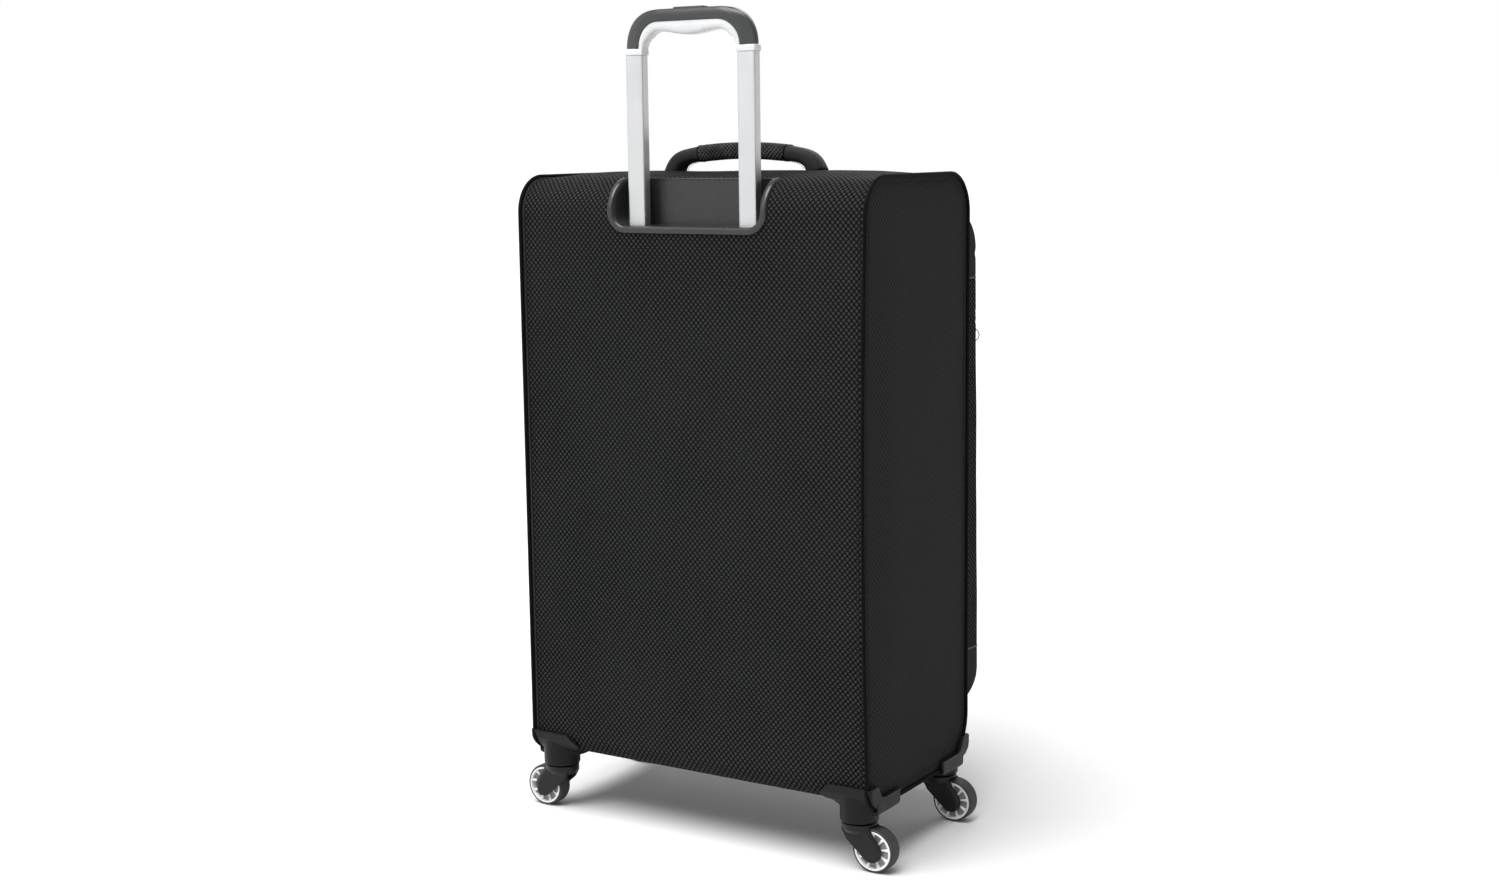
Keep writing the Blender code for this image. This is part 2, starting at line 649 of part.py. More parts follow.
def make_caster(name, side_x, side_y):
    swivel = empty(name + "_swivel", (side_x * CASTER_X, side_y * CASTER_Y, 0.0), CASE)
    if side_x < 0:
        swivel.rotation_euler = (0.0, 0.0, math.pi)

    def local(obj, pivot):
        obj.parent = pivot
        obj.location = (0.0, 0.0, 0.0)

    cap = rod(name + "_fork", FORK_CAP_RADIUS, (0, 0, 0.0455), (0, 0, FORK_TOP), 28)
    fork = part(name + "_fork", cap, MOULDED)
    local(fork, swivel)
    for label, side in (("_leg_a", 1), ("_leg_b", -1)):
        leg = cutter(name + label, loft(name + label, fork_leg(side)))
        local(leg, swivel)
        boolean(fork, leg, "UNION")
    slot = cutter(name + "_slot", block(name + "_slot", (-0.03, -FORK_LEG_INNER, 0.0),
                                        (0.06, FORK_LEG_INNER, WHEEL_RADIUS * 2 + 0.0012)))
    local(slot, swivel)
    boolean(fork, slot)
    stem = cutter(name + "_stem", rod(name + "_stem", 0.0044, (0, 0, 0.0530), (0, 0, 0.0715), 16))
    local(stem, swivel)
    boolean(fork, stem, "UNION")
    blind = FORK_LEG_OUTER - 0.0010
    seat = cutter(name + "_seat", rod(name + "_seat", AXLE_RADIUS + GAP,
                                      (CASTER_TRAIL, -blind, WHEEL_RADIUS),
                                      (CASTER_TRAIL, blind, WHEEL_RADIUS), 12))
    local(seat, swivel)
    boolean(fork, seat)
    reach = blind - GAP
    axle = part(name + "_axle", rod(name + "_axle", AXLE_RADIUS,
                                    (CASTER_TRAIL, -reach, WHEEL_RADIUS),
                                    (CASTER_TRAIL, reach, WHEEL_RADIUS), 12), STEEL)
    local(axle, swivel)

    spin = empty(name + "_wheel_spin", (CASTER_TRAIL, 0.0, WHEEL_RADIUS), swivel)
    turned(name + "_tyre", wheel_profile(TYRE_HALF_WIDTH, HUB_RADIUS + GAP, WHEEL_RADIUS, 0.0016),
           TYRE, spin, 32)
    bore, half = AXLE_RADIUS + 2 * GAP, TYRE_HALF_WIDTH - 0.0002
    ring, web = HUB_RADIUS - 0.0034, 0.0035
    hub_profile = [(bore, half), (0.0075, half), (0.0082, web), (ring - 0.0008, web), (ring, half),
                   (HUB_RADIUS, half), (HUB_RADIUS, -half), (ring, -half), (ring - 0.0008, -web),
                   (0.0082, -web), (0.0075, -half), (bore, -half)]
    hub = turned(name + "_hub", hub_profile, RIM, spin, 24)
    for i in range(7):
        angle = 2 * math.pi * i / 7
        middle = Vector((math.cos(angle), 0.0, math.sin(angle))) * 0.0136
        hole = cutter(name + f"_window_{i}", rod(name + f"_window_{i}", 0.0033,
                                                 middle - Vector((0, 0.01, 0)),
                                                 middle + Vector((0, 0.01, 0)), 8))
        local(hole, spin)
        boolean(hub, hole)


# --- trolley ------------------------------------------------------------------------------------
def rectangle_tube(name, finish, x, size, wall, low, high, pivot, edge=0.0022):
    outer = block(name, (x - size[0] / 2, TUBE_Y - size[1] / 2, low),
                  (x + size[0] / 2, TUBE_Y + size[1] / 2, high))
    obj = part(name, outer, finish, pivot)
    # Only the long edges are rounded.
    build = bmesh.new()
    build.from_mesh(obj.data)
    upright = [e for e in build.edges if abs(e.verts[0].co.z - e.verts[1].co.z) > 0.01]
    bmesh.ops.bevel(build, geom=upright, offset=edge, segments=2, affect="EDGES", profile=0.5)
    build.to_mesh(obj.data)
    build.free()
    bore = block(name + "_bore", (x - size[0] / 2 + wall, TUBE_Y - size[1] / 2 + wall, low - 0.01),
                 (x + size[0] / 2 - wall, TUBE_Y + size[1] / 2 - wall, high + 0.01))
    boolean(obj, cutter(name + "_bore", bore, pivot))
    return obj


def make_channels():
    size = [side + 2 * (CHANNEL_WALL + GAP) for side in TUBE_SIZE]
    for name, side in (("right", -1), ("left", 1)):
        channel = rectangle_tube("trolley_channel_" + name, ALUMINIUM, side * TUBE_X, size,
                                 CHANNEL_WALL, CHANNEL_BOTTOM, CUP_FLOOR - 0.0035, CASE)
        # The lock pin runs in a groove on the channel's inner side.
        inner = side * (TUBE_X - TUBE_SIZE[0] / 2)
        low, high = TUBE_BOTTOM - TROLLEY_TRAVEL, TUBE_BOTTOM + 0.02
        groove = block("pin_groove_" + name, (min(inner, inner - side * 0.006), TUBE_Y - 0.0031, low),
                       (max(inner, inner - side * 0.006), TUBE_Y + 0.0031, high))
        boolean(channel, cutter("pin_groove_" + name, groove))
    part("channel_bracket", block("channel_bracket", (-0.098, TUBE_Y - 0.0097, 0.1175),
                                  (0.098, TUBE_Y + 0.0097, CHANNEL_BOTTOM - GAP), 0.0015, 1), MOULDED)


def make_cup():
    """The recess in the top back edge that the tubes come out of."""
    obj = part("trolley_cup", prism("trolley_cup", cup_outline(0.0), 1, CUP_INNER_Y - CUP_WALL, 0.135),
               GRIP_DARK)
    boolean(obj, case_body("cup_skin", CLOTH_INSET - CUP_LIP, 0.13), "INTERSECT")
    # Behind the rim the moulding steps in to pass through the cut-out of the cloth.
    collar = case_body("cup_collar", CLOTH_INSET - GAP, 0.14)
    keep = prism("cup_keep", cup_outline(-0.0060), 1, 0.06, 0.20)
    boolean(collar, cutter("cup_keep", keep))
    boolean(obj, collar)
    hollow = [(x, z) for x, z in cup_outline(-0.0078)]
    room = prism("cup_room", [(x, max(z, CUP_FLOOR)) if z < 0.8 else (x, 0.9) for x, z in hollow],
                 1, CUP_INNER_Y, 0.20)
    boolean(obj, cutter("cup_room", room))
    for name, side in (("right", -1), ("left", 1)):
        size = [half + 2 * GAP for half in TUBE_SIZE]
        hole = block("cup_hole_" + name,
                     (side * TUBE_X - size[0] / 2, TUBE_Y - size[1] / 2, 0.69),
                     (side * TUBE_X + size[0] / 2, TUBE_Y + size[1] / 2, 0.74))
        boolean(obj, cutter("cup_hole_" + name, hole))


def grip_path(foot):
    """The seam between the grip's two mouldings (x, z, outward), from foot to foot."""
    corner_x, corner_z, bend = 0.0395, 0.9215, 0.0285
    right = [(corner_x + bend, foot, 0.0)]
    for angle in (15, 30, 45, 60, 75, 90):
        a = math.radians(angle)
        right.append((corner_x + bend * math.cos(a), corner_z + bend * math.sin(a), angle))
    right += [(0.026, 0.950, 90.0), (0.012, 0.950, 90.0)]
    return right + [(-x, z, 180 - angle) for x, z, angle in reversed(right)]


def grip_rings(outward, reach, half_depth, chamfer, foot):
    """One moulding of the grip: a band on one side of the seam, deepest along the top.

    half_depth and chamfer are pairs, on the legs and along the top.
    """
    rings = []
    for x, z, angle in grip_path(foot):
        a = math.radians(angle)
        level = math.sin(a) ** 2
        out = Vector((math.cos(a), 0.0, math.sin(a))) * outward
        seam = Vector((x, TUBE_Y, z)) + out * GAP / 2
        depth = reach(x, angle)
        half = half_depth[0] + (half_depth[1] - half_depth[0]) * level
        start = depth - chamfer[0] - (chamfer[1] - chamfer[0]) * level
        rows = ((0.0, half), (start, half), (depth, half - 0.0035),
                (depth, 0.0035 - half), (start, -half), (0.0, -half))
        rings.append([seam + out * r + Vector((0.0, y, 0.0)) for r, y in rows])
    return rings


def make_grip():
    def shell_reach(_, angle):
        return 0.0193 - 0.0058 * math.sin(math.radians(angle)) ** 4

    def core_reach(x, angle):
        level = min(1.0, 1.6 * math.sin(math.radians(angle)))
        belly = max(0.0, 1.0 - (x / 0.038) ** 2)
        return 0.0047 + 0.0057 * level + 0.0046 * belly * level

    shell = part("grip_shell", loft("grip_shell", grip_rings(1.0, shell_reach, (0.0075, 0.0110),
                                                       (0.0150, 0.0035), 0.9215)),
                 GRIP_DARK, TROLLEY)
    half_x, half_y = BUTTON_HALF_LENGTH + GAP, BUTTON_HALF_DEPTH + GAP
    pit = block("button_pit", (-half_x, TUBE_Y - half_y, BUTTON_BOTTOM - 0.0040),
                (half_x, TUBE_Y + half_y, 0.98))
    boolean(shell, cutter("button_pit", pit, TROLLEY))

    core = part("grip_core", loft("grip_core", grip_rings(-1.0, core_reach, (0.0072, 0.0102),
                                                     (0.0020, 0.0035), 0.9180)),
                SILVER_PLASTIC, TROLLEY)
    for name, side in (("right", -1), ("left", 1)):
        half = (TUBE_SIZE[0] / 2 + 0.0006, TUBE_SIZE[1] / 2 + 0.0006)
        collar = block("collar_" + name, (side * TUBE_X - half[0], TUBE_Y - half[1], TUBE_TOP + GAP),
                       (side * TUBE_X + half[0], TUBE_Y + half[1], 0.9211), 0.0008, 1)
        boolean(core, cutter("collar_" + name, collar, TROLLEY), "UNION")

    low = (-BUTTON_HALF_LENGTH, TUBE_Y - BUTTON_HALF_DEPTH, BUTTON_BOTTOM)
    high = (BUTTON_HALF_LENGTH, TUBE_Y + BUTTON_HALF_DEPTH, BUTTON_TOP)
    part("push_button", block("push_button", low, high, 0.0012, 2), GRIP_DARK, BUTTON)


def make_trolley():
    for name, side in (("right", -1), ("left", 1)):
        x = side * TUBE_X
        tube = rectangle_tube("trolley_tube_" + name, ALUMINIUM, x, TUBE_SIZE, TUBE_WALL,
                              TUBE_BOTTOM, TUBE_TOP, TROLLEY)
        inner = side * (TUBE_X - TUBE_SIZE[0] / 2)
        pin_z = TUBE_BOTTOM + 0.010
        hole = rod("pin_hole_" + name, 0.0028, (inner - side * 0.003, TUBE_Y, pin_z),
                   (inner + side * 0.004, TUBE_Y, pin_z), 12)
        boolean(tube, cutter("pin_hole_" + name, hole, TROLLEY))
        # The pin's head stands 0.6 mm out of the tube; the button draws it in.
        pin = empty("lock_pin_" + name + "_slide", (0, 0, 0), TROLLEY)
        pin.location = Vector((inner, TUBE_Y, pin_z)) - pivot_place(TROLLEY)
        part("lock_pin_" + name, rod("lock_pin_" + name, 0.0024,
                                     (inner - side * 0.0009, TUBE_Y, pin_z),
                                     (inner + side * 0.0070, TUBE_Y, pin_z), 12), STEEL, pin)
        part("release_rod_" + name, block("release_rod_" + name,
                                          (x - 0.0030, TUBE_Y - 0.0016, TUBE_BOTTOM + 0.018),
                                          (x + 0.0030, TUBE_Y + 0.0016, TUBE_TOP - 0.002)),
             STEEL, BUTTON)


# --- assembly -----------------------------------------------------------------------------------
LID = empty("lid_hinge", (LID_HINGE[0], LID_HINGE[1], 0.0), CASE)
TROLLEY = empty("trolley_slide", (0.0, TUBE_Y, CUP_FLOOR), CASE)
BUTTON = empty("button_press", (0.0, 0.0, 0.9625 - CUP_FLOOR), TROLLEY)

make_wrap_and_lid()
make_side_panels()
make_pipings_and_wires()
make_main_zip()
make_boards()
make_packing_strap()
make_handles()
make_pockets()
make_sliders()
GROOVES = {-1: piping_groove("piping_groove_right", -1), 1: piping_groove("piping_groove_left", 1)}
BODY_CUT = case_body("body_cut", CLOTH_INSET - 0.0012, CASE_HALF_WIDTH - 0.0002)
for end, y_side in (("back", 1), ("front", -1)):
    for hand, x_side in (("right", -1), ("left", 1)):
        make_guard(f"corner_guard_{end}_{hand}", x_side, y_side, BODY_CUT)
        make_caster(f"caster_{end}_{hand}", x_side, y_side)
make_channels()
make_cup()
make_grip()
make_trolley()
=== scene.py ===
"""Looks for the softside upright suitcase: camera, light, materials and modelled pieces.

Metres, +Z up, -Y the front with the lid and pockets, +Y the back with the trolley. Cloth, zips,
handles, strap, guards, forks, wheels, grip and cup are replaced by modelled pieces. The frame's
other nodes, such as the tubes, boards, wires, axles and sliders, are shown as they are.
"""
import json
import math

import bmesh
import bpy
import numpy as np
from mathutils import Matrix, Vector, noise


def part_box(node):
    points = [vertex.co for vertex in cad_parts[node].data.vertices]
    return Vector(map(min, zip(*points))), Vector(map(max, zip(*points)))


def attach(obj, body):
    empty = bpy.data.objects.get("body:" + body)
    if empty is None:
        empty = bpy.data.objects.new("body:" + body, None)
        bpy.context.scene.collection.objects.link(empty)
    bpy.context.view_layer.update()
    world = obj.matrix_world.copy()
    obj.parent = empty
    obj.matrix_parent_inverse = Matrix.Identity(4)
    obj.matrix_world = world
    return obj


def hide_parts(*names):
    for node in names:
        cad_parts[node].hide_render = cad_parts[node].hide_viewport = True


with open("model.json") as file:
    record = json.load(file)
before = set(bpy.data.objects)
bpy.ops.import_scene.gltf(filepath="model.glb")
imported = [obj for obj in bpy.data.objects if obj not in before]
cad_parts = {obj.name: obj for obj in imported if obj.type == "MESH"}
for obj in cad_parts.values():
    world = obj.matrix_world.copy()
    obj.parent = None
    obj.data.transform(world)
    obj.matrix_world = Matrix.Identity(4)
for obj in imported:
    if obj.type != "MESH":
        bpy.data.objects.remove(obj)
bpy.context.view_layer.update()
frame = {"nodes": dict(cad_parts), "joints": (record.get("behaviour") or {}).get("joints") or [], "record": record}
NODES = frame["nodes"]

# --- sizes, from the frame or as in the real case -----------------------------------------------
PIPING_LOW, PIPING_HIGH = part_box("piping_left")
PIPING_RADIUS = 0.0024
HALF_WIDTH = PIPING_HIGH.x - PIPING_RADIUS
CASE_Y = (PIPING_LOW.y + PIPING_HIGH.y) / 2
HALF_DEPTH = PIPING_HIGH.y - CASE_Y - PIPING_RADIUS
STUFFING = 0.0040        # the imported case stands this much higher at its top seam
CASE_BOTTOM = PIPING_LOW.z + PIPING_RADIUS
CASE_TOP = PIPING_HIGH.z - PIPING_RADIUS + STUFFING
EDGE_RADII = (0.024, 0.042, 0.045, 0.055)   # back bottom, back top, front top, front bottom
BACK_BOTTOM_FULLNESS = 0.004    # the back bottom edge is rounder half way along
TOP_CROWN = 0.0078      # rise of the stuffed top at its middle
CROWN_SHAPE = 10        # how box-like the rise is across the width
CROWN_REACH = 0.090     # the rise ends this far from the middle, at the bends
BOTTOM_SAG = 0.0015
CLOTH_INSET = 0.003
CLOTH = 0.0022          # cloth and its lining
SEAM_BOW = 0.005        # the right back seam is drawn in at mid height

MID_HEIGHT = 0.42       # above this, an edge of the case is an upper one
EDGE_BLEND = 0.06       # the crown and the sag fade in over this height at the edges
LATTICE_X, LATTICE_Z = 0.0065, 0.00705      # one diamond of the cloth's emboss
SIDES = (("right", -1), ("left", 1))        # seen from behind, and their sign in x

LID_HALF, LID_LOW, LID_HIGH = 0.2262, 0.118, 0.7365
LID_GAP, LID_CORNER = 0.0014, 0.012
POCKET_HALF, POCKET_LOW, POCKET_SPLIT, POCKET_HIGH = 0.2245, 0.136, 0.6105, 0.731
POCKET_BASE = -(HALF_DEPTH - CLOTH_INSET + 0.0003)
ZIP_LOWER, ZIP_UPPER = 0.6015, 0.6800
SEAM_LOWER, SEAM_UPPER = 0.199, 0.652       # the plain bands begin at these seams

CUP_LOW, CUP_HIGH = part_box("trolley_cup")
CUP_HALF = CUP_HIGH.x
TUBE_LOW, TUBE_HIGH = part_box("trolley_tube_left")
TUBE_Y, TUBE_X = (TUBE_LOW.y + TUBE_HIGH.y) / 2, (TUBE_LOW.x + TUBE_HIGH.x) / 2
SEAM_X, SEAM_Z, SEAM_BEND = 0.0395, 0.9215, 0.0285      # the arc between the grip's mouldings

PIVOTS = {joint["name"].removeprefix("swivel_"): joint["pos_m"][:2] for joint in frame["joints"]
          if joint["name"].startswith("swivel_")}
TRAIL, AXLE_Z = 0.0214, 0.0254      # a wheel's axle behind its swivel axis and above the floor
BOSS = 0.0128                       # radius of a fork's leg round the axle

# The photo's camera: place, then yaw, pitch and roll in radians, then millimetres.
CAMERA_PLACE = (-1.2639, 1.9898 + CASE_Y, 0.8171)
CAMERA_TURN = (0.56330, 0.14970, -0.0118)
SENSOR_WIDTH, LENS = 36.0, 47.776


# --- materials ----------------------------------------------------------------------------------
class Graph:
    """A material's nodes, with short calls for the maths between them."""

    def __init__(self, name, colour, roughness, metallic=0.0, specular=0.5, **fixed):
        self.material = bpy.data.materials.new(name)
        self.material.use_nodes = True
        self.material.diffuse_color = (*colour, 1.0)
        self.nodes = self.material.node_tree.nodes
        self.links = self.material.node_tree.links
        self.shader = self.nodes["Principled BSDF"]
        self.shader.inputs["Base Color"].default_value = (*colour, 1.0)
        self.shader.inputs["Roughness"].default_value = roughness
        self.shader.inputs["Metallic"].default_value = metallic
        self.shader.inputs["Specular IOR Level"].default_value = specular
        for socket, value in fixed.items():
            self.shader.inputs[socket.replace("_", " ")].default_value = value
        self.bumps = None

    def node(self, kind, **settings):
        made = self.nodes.new("ShaderNode" + kind)
        for key, value in settings.items():
            setattr(made, key, value)
        return made

    def plug(self, socket, value):
        if isinstance(value, bpy.types.NodeSocket):
            self.links.new(value, socket)
        else:
            socket.default_value = value

    def math(self, operation, a, b=0.0, clamp=False):
        made = self.node("Math", operation=operation, use_clamp=clamp)
        self.plug(made.inputs[0], a)
        self.plug(made.inputs[1], b)
        return made.outputs[0]

    def place(self):
        return self.node("TexCoord").outputs["Object"]

    def flat(self, layer="cloth"):
        """Metres along the cloth, from the piece's own layout."""
        split = self.node("SeparateXYZ")
        self.links.new(self.node("UVMap", uv_map=layer).outputs["UV"], split.inputs[0])
        return split.outputs[0], split.outputs[1]

    def noise(self, scale, detail=2.0, roughness=0.5, vector=None):
        made = self.node("TexNoise")
        made.inputs["Scale"].default_value = scale
        made.inputs["Detail"].default_value = detail
        made.inputs["Roughness"].default_value = roughness
        self.plug(made.inputs["Vector"], vector or self.place())
        return made.outputs["Fac"]

    def spread(self, value, low, high, new_low, new_high):
        made = self.node("MapRange")
        for socket, given in zip(made.inputs, (value, low, high, new_low, new_high)):
            self.plug(socket, given)
        return made.outputs[0]

    def ramp(self, value, *stops):
        """Colours along a value: (position, colour) pairs."""
        made = self.node("ValToRGB")
        steps = made.color_ramp.elements
        while len(steps) < len(stops):
            steps.new(0.5)
        for step, (position, colour) in zip(steps, stops):
            step.position = position
            step.color = (*colour, 1.0)
        self.plug(made.inputs[0], value)
        return made.outputs[0]

    def bump(self, height, distance, strength=1.0):
        made = self.node("Bump")
        made.inputs["Distance"].default_value = distance
        made.inputs["Strength"].default_value = strength
        self.plug(made.inputs["Height"], height)
        if self.bumps:
            self.links.new(self.bumps, made.inputs["Normal"])
        self.bumps = made.outputs[0]
        self.links.new(self.bumps, self.shader.inputs["Normal"])

    def colour(self, value):
        self.plug(self.shader.inputs["Base Color"], value)

    def rough(self, value):
        self.plug(self.shader.inputs["Roughness"], value)


def grey(level, warmth=0.0):
    """A near-neutral colour of a given linear level; warmth below 0 is cooler."""
    return (level * (1 + warmth), level, level * (1 - warmth))


def embossed_cloth(name, contrast=1.0):
    """Black polyester with a small embossed diamond lattice over a fine plain weave; painted shade darkens the
    lattice's grooves.
    """
    g = Graph(name, grey(0.012, -0.03), 0.72, specular=0.06)
    u, v = g.flat()
    a, b = g.math("DIVIDE", u, LATTICE_X), g.math("DIVIDE", v, LATTICE_Z)
    waves = [g.math("ABSOLUTE", g.math("SINE", g.math("MULTIPLY", line, math.pi)))
             for line in (g.math("ADD", a, b), g.math("SUBTRACT", a, b))]
    cell = g.math("MINIMUM", *waves)
    cell = g.math("MULTIPLY", g.math("ADD", cell, g.math("MULTIPLY", *waves)), 0.5)
    threads = [g.math("SINE", g.math("MULTIPLY", way, 2 * math.pi / 0.00062)) for way in (u, v)]
    weave = g.math("MULTIPLY", *threads)
    worn = g.noise(9.0, 4.0, 0.6)
    shade = g.math("ADD", cell, g.math("MULTIPLY", weave, 0.04))
    shade = g.math("ADD", shade, g.spread(worn, 0.3, 0.7, -0.04, 0.04))
    # contrast scales the relief and the painted groove shade together; below 1 the tone gathers round its middle.
    rest = 0.52 * (1 - contrast)
    shade = g.spread(shade, 0.0, 1.0, rest, rest + contrast)
    # The ramp paints the lattice's grooves and crossings nearly black: painted shade of the relief, over its real
    # bump. The weave and the random blotches are the cloth's own tone.
    g.colour(g.ramp(shade, (0.05, grey(0.0005, -0.04)), (0.32, grey(0.0080, -0.03)),
                    (0.58, grey(0.0225, -0.02)), (1.0, grey(0.0345, -0.02))))
    g.rough(g.spread(shade, 0.0, 1.0, 0.95, 0.55))
    g.bump(cell, 0.00070 * contrast, 1.0)
    g.bump(weave, 0.00008, 0.6)
    return g.material


def plain_weave(name, level, pitch, depth, roughness=0.85, sheen=0.1, specular=0.15,
                drift=0.12):
    """A plain over-and-under weave laid out on the piece's own layout."""
    g = Graph(name, grey(level, -0.02), roughness, specular=specular,
              Sheen_Weight=sheen, Sheen_Roughness=0.5)
    u, v = g.flat()
    a = g.math("SINE", g.math("MULTIPLY", u, math.pi / pitch))
    b = g.math("SINE", g.math("MULTIPLY", v, math.pi / pitch))
    over = g.math("MULTIPLY", a, b)
    uneven = g.spread(g.noise(14.0, 3.0), 0.3, 0.7, -drift, drift)
    shade = g.math("ADD", g.spread(over, -1.0, 1.0, 0.0, 1.0), uneven)
    g.colour(g.ramp(shade, (0.0, grey(level * 0.45)), (0.55, grey(level)),
                    (1.0, grey(level * 1.75))))
    g.bump(over, depth, 0.8)
    return g.material


def mesh_wrap():
    """Coarse knitted mesh: pale ribs round dark, nearly square holes."""
    g = Graph("mesh_wrap", grey(0.020, -0.02), 0.70, specular=0.25)
    pitch = 0.0050
    u, v = g.flat()
    waves = [g.math("SINE", g.math("MULTIPLY", g.math(way, u, v), math.pi / pitch))
             for way in ("ADD", "SUBTRACT")]
    hole = g.math("ABSOLUTE", g.math("MULTIPLY", *waves))
    drift = g.spread(g.noise(90.0, 3.0), 0.3, 0.7, -0.30, 0.30)
    shade = g.math("ADD", hole, drift)
    g.colour(g.ramp(shade, (0.05, grey(0.0620, -0.02)), (0.36, grey(0.0150, -0.02)),
                    (0.70, grey(0.0035, -0.02))))
    g.bump(g.math("SUBTRACT", 1.0, hole), 0.0016, 1.0)
    return g.material


def moulded(name, level, roughness, grain=0.00002, specular=0.5, warmth=-0.03, coat=0.0):
    """Moulded plastic: a fine spark-eroded grain, and handling marks in its gloss."""
    g = Graph(name, grey(level, warmth), roughness, specular=specular, Coat_Weight=coat,
              Coat_Roughness=0.2)
    marks = g.noise(38.0, 5.0, 0.65)
    g.rough(g.spread(marks, 0.3, 0.75, roughness * 0.82, roughness * 1.22))
    g.colour(g.ramp(g.noise(11.0, 3.0), (0.3, grey(level * 0.90, warmth)),
                    (0.7, grey(level * 1.12, warmth))))
    g.bump(g.noise(2600.0, 2.0), grain, 0.5)
    return g.material


def anodised(name, level, roughness, stretch=(220.0, 220.0, 1.5), metallic=1.0):
    """Drawn aluminium: faint lines along the tube, and light handling marks."""
    g = Graph(name, grey(level, -0.01), roughness, metallic=metallic)
    lines = g.node("Mapping")
    lines.inputs["Scale"].default_value = stretch
    g.plug(lines.inputs["Vector"], g.place())
    drawn = g.noise(9.0, 3.0, 0.6, lines.outputs[0])
    g.rough(g.spread(g.math("ADD", drawn, g.noise(24.0, 4.0)), 0.7, 1.3, roughness * 0.8,
                     roughness * 1.3))
    g.colour(g.ramp(drawn, (0.3, grey(level * 0.965, -0.01)), (0.7, grey(level * 1.02, -0.01))))
    g.bump(drawn, 0.00001, 0.35)
    return g.material


def metal(name, level, roughness, warmth=0.0):
    """Plated or plain steel with fine scratches."""
    g = Graph(name, grey(level, warmth), roughness, metallic=1.0)
    marks = g.noise(260.0, 4.0, 0.7)
    g.rough(g.spread(marks, 0.3, 0.7, roughness * 0.75, roughness * 1.35))
    g.colour(g.ramp(g.noise(60.0, 3.0), (0.3, grey(level * 0.88, warmth)),
                    (0.7, grey(level * 1.08, warmth))))
    g.bump(marks, 0.00001, 0.4)
    return g.material


def rubber():
    g = Graph("tyre_rubber", grey(0.030, -0.02), 0.62, specular=0.35)
    dust = g.noise(70.0, 5.0, 0.7)
    g.colour(g.ramp(dust, (0.35, grey(0.022, -0.02)), (0.65, grey(0.048, 0.02))))
    g.rough(g.spread(dust, 0.3, 0.7, 0.52, 0.78))
    g.bump(g.noise(900.0, 3.0), 0.00004, 0.5)
    return g.material


FABRIC = embossed_cloth("embossed_cloth")
# The side panels' copy: the same lattice with a weaker relief and weaker painted groove shade.
SIDE_FABRIC = embossed_cloth("side_cloth", 0.26)
LINING = plain_weave("lining_cloth", 0.060, 0.0006, 0.00006, 0.8, 0.15, drift=0.03)
WEBBING = plain_weave("webbing", 0.018, 0.0016, 0.0003, 0.8, 0.15)
HANDLE_CLOTH = plain_weave("handle_cloth", 0.010, 0.0006, 0.00008, 0.6, 0.02, 0.25)
MESH_WRAP = mesh_wrap()
# The piping is darker than the black cloth: partly the cord's own black, partly painted shade for the groove
# beside the seam.
PIPING = plain_weave("piping_cord", 0.0022, 0.0007, 0.00010, 0.7, 0.0, 0.08)
ZIP_TAPE = plain_weave("zip_tape", 0.012, 0.0007, 0.0001, 0.8, 0.05)
PLAIN_CLOTH = plain_weave("plain_cloth", 0.011, 0.0005, 0.00006, 0.75, 0.02, 0.12)
SEAM_CORD = plain_weave("seam_cord", 0.055, 0.0007, 0.00008, 0.6, 0.1, 0.3)
THREAD = plain_weave("thread", 0.009, 0.0003, 0.00005, 0.6, 0.0, 0.2)
BOARD = moulded("honeycomb_board", 0.05, 0.6, 0.00005)
ZIP_COIL = moulded("zip_coil", 0.030, 0.38, 0.00001, 0.5)
BLACK = moulded("satin_black", 0.0056, 0.44, 0.00002, 0.17)
FORK_BLACK = moulded("fork_black", 0.0060, 0.36, 0.00001, 0.26)
GRIP_DARK = moulded("grip_dark", 0.032, 0.33, 0.00001, 0.5)
CUP_DARK = moulded("cup_dark", 0.021, 0.27, 0.000004, 0.5)
GRIP_SILVER = moulded("grip_silver", 0.60, 0.30, 0.00001, 0.5, -0.01)
ALUMINIUM = anodised("satin_aluminium", 0.64, 0.36)
STEEL = metal("plain_steel", 0.45, 0.35)
ZIP_METAL = metal("zip_metal", 0.36, 0.30)
RIM = moulded("bright_rim", 0.70, 0.22, 0.00001, 0.5, -0.01)
# The hub's recessed pocket floors: the rim's colour painted darker, as painted shade in the recesses.
RIM_POCKET_PAINTED_SHADE = moulded("rim_pocket", 0.20, 0.35, 0.00001, 0.5, -0.01)
TYRE = rubber()

KEPT = {
    "moulded_black": BLACK, "grip_dark": GRIP_DARK, "grip_silver": GRIP_SILVER,
    "aluminium": ALUMINIUM, "steel": STEEL, "wheel_rim": RIM, "tyre": TYRE, "board": BOARD,
    "zip_metal": ZIP_METAL, "lining": LINING, "zip_tape": ZIP_TAPE, "webbing": WEBBING,
    "shell_cloth": FABRIC, "piping": PIPING,
}


def dress_frame():
    """Every node of the frame gets the material of its slot."""
    for row in frame["record"]["subparts"]:
        materials = NODES[row["node"]].data.materials
        materials.clear()
        materials.append(KEPT[row["material_slot"]])


# --- camera, light and floor --------------------------------------------------------------------
def shown(name, data):
    """A new object of the data, linked into the scene."""
    obj = bpy.data.objects.new(name, data)
    bpy.context.scene.collection.objects.link(obj)
    return obj


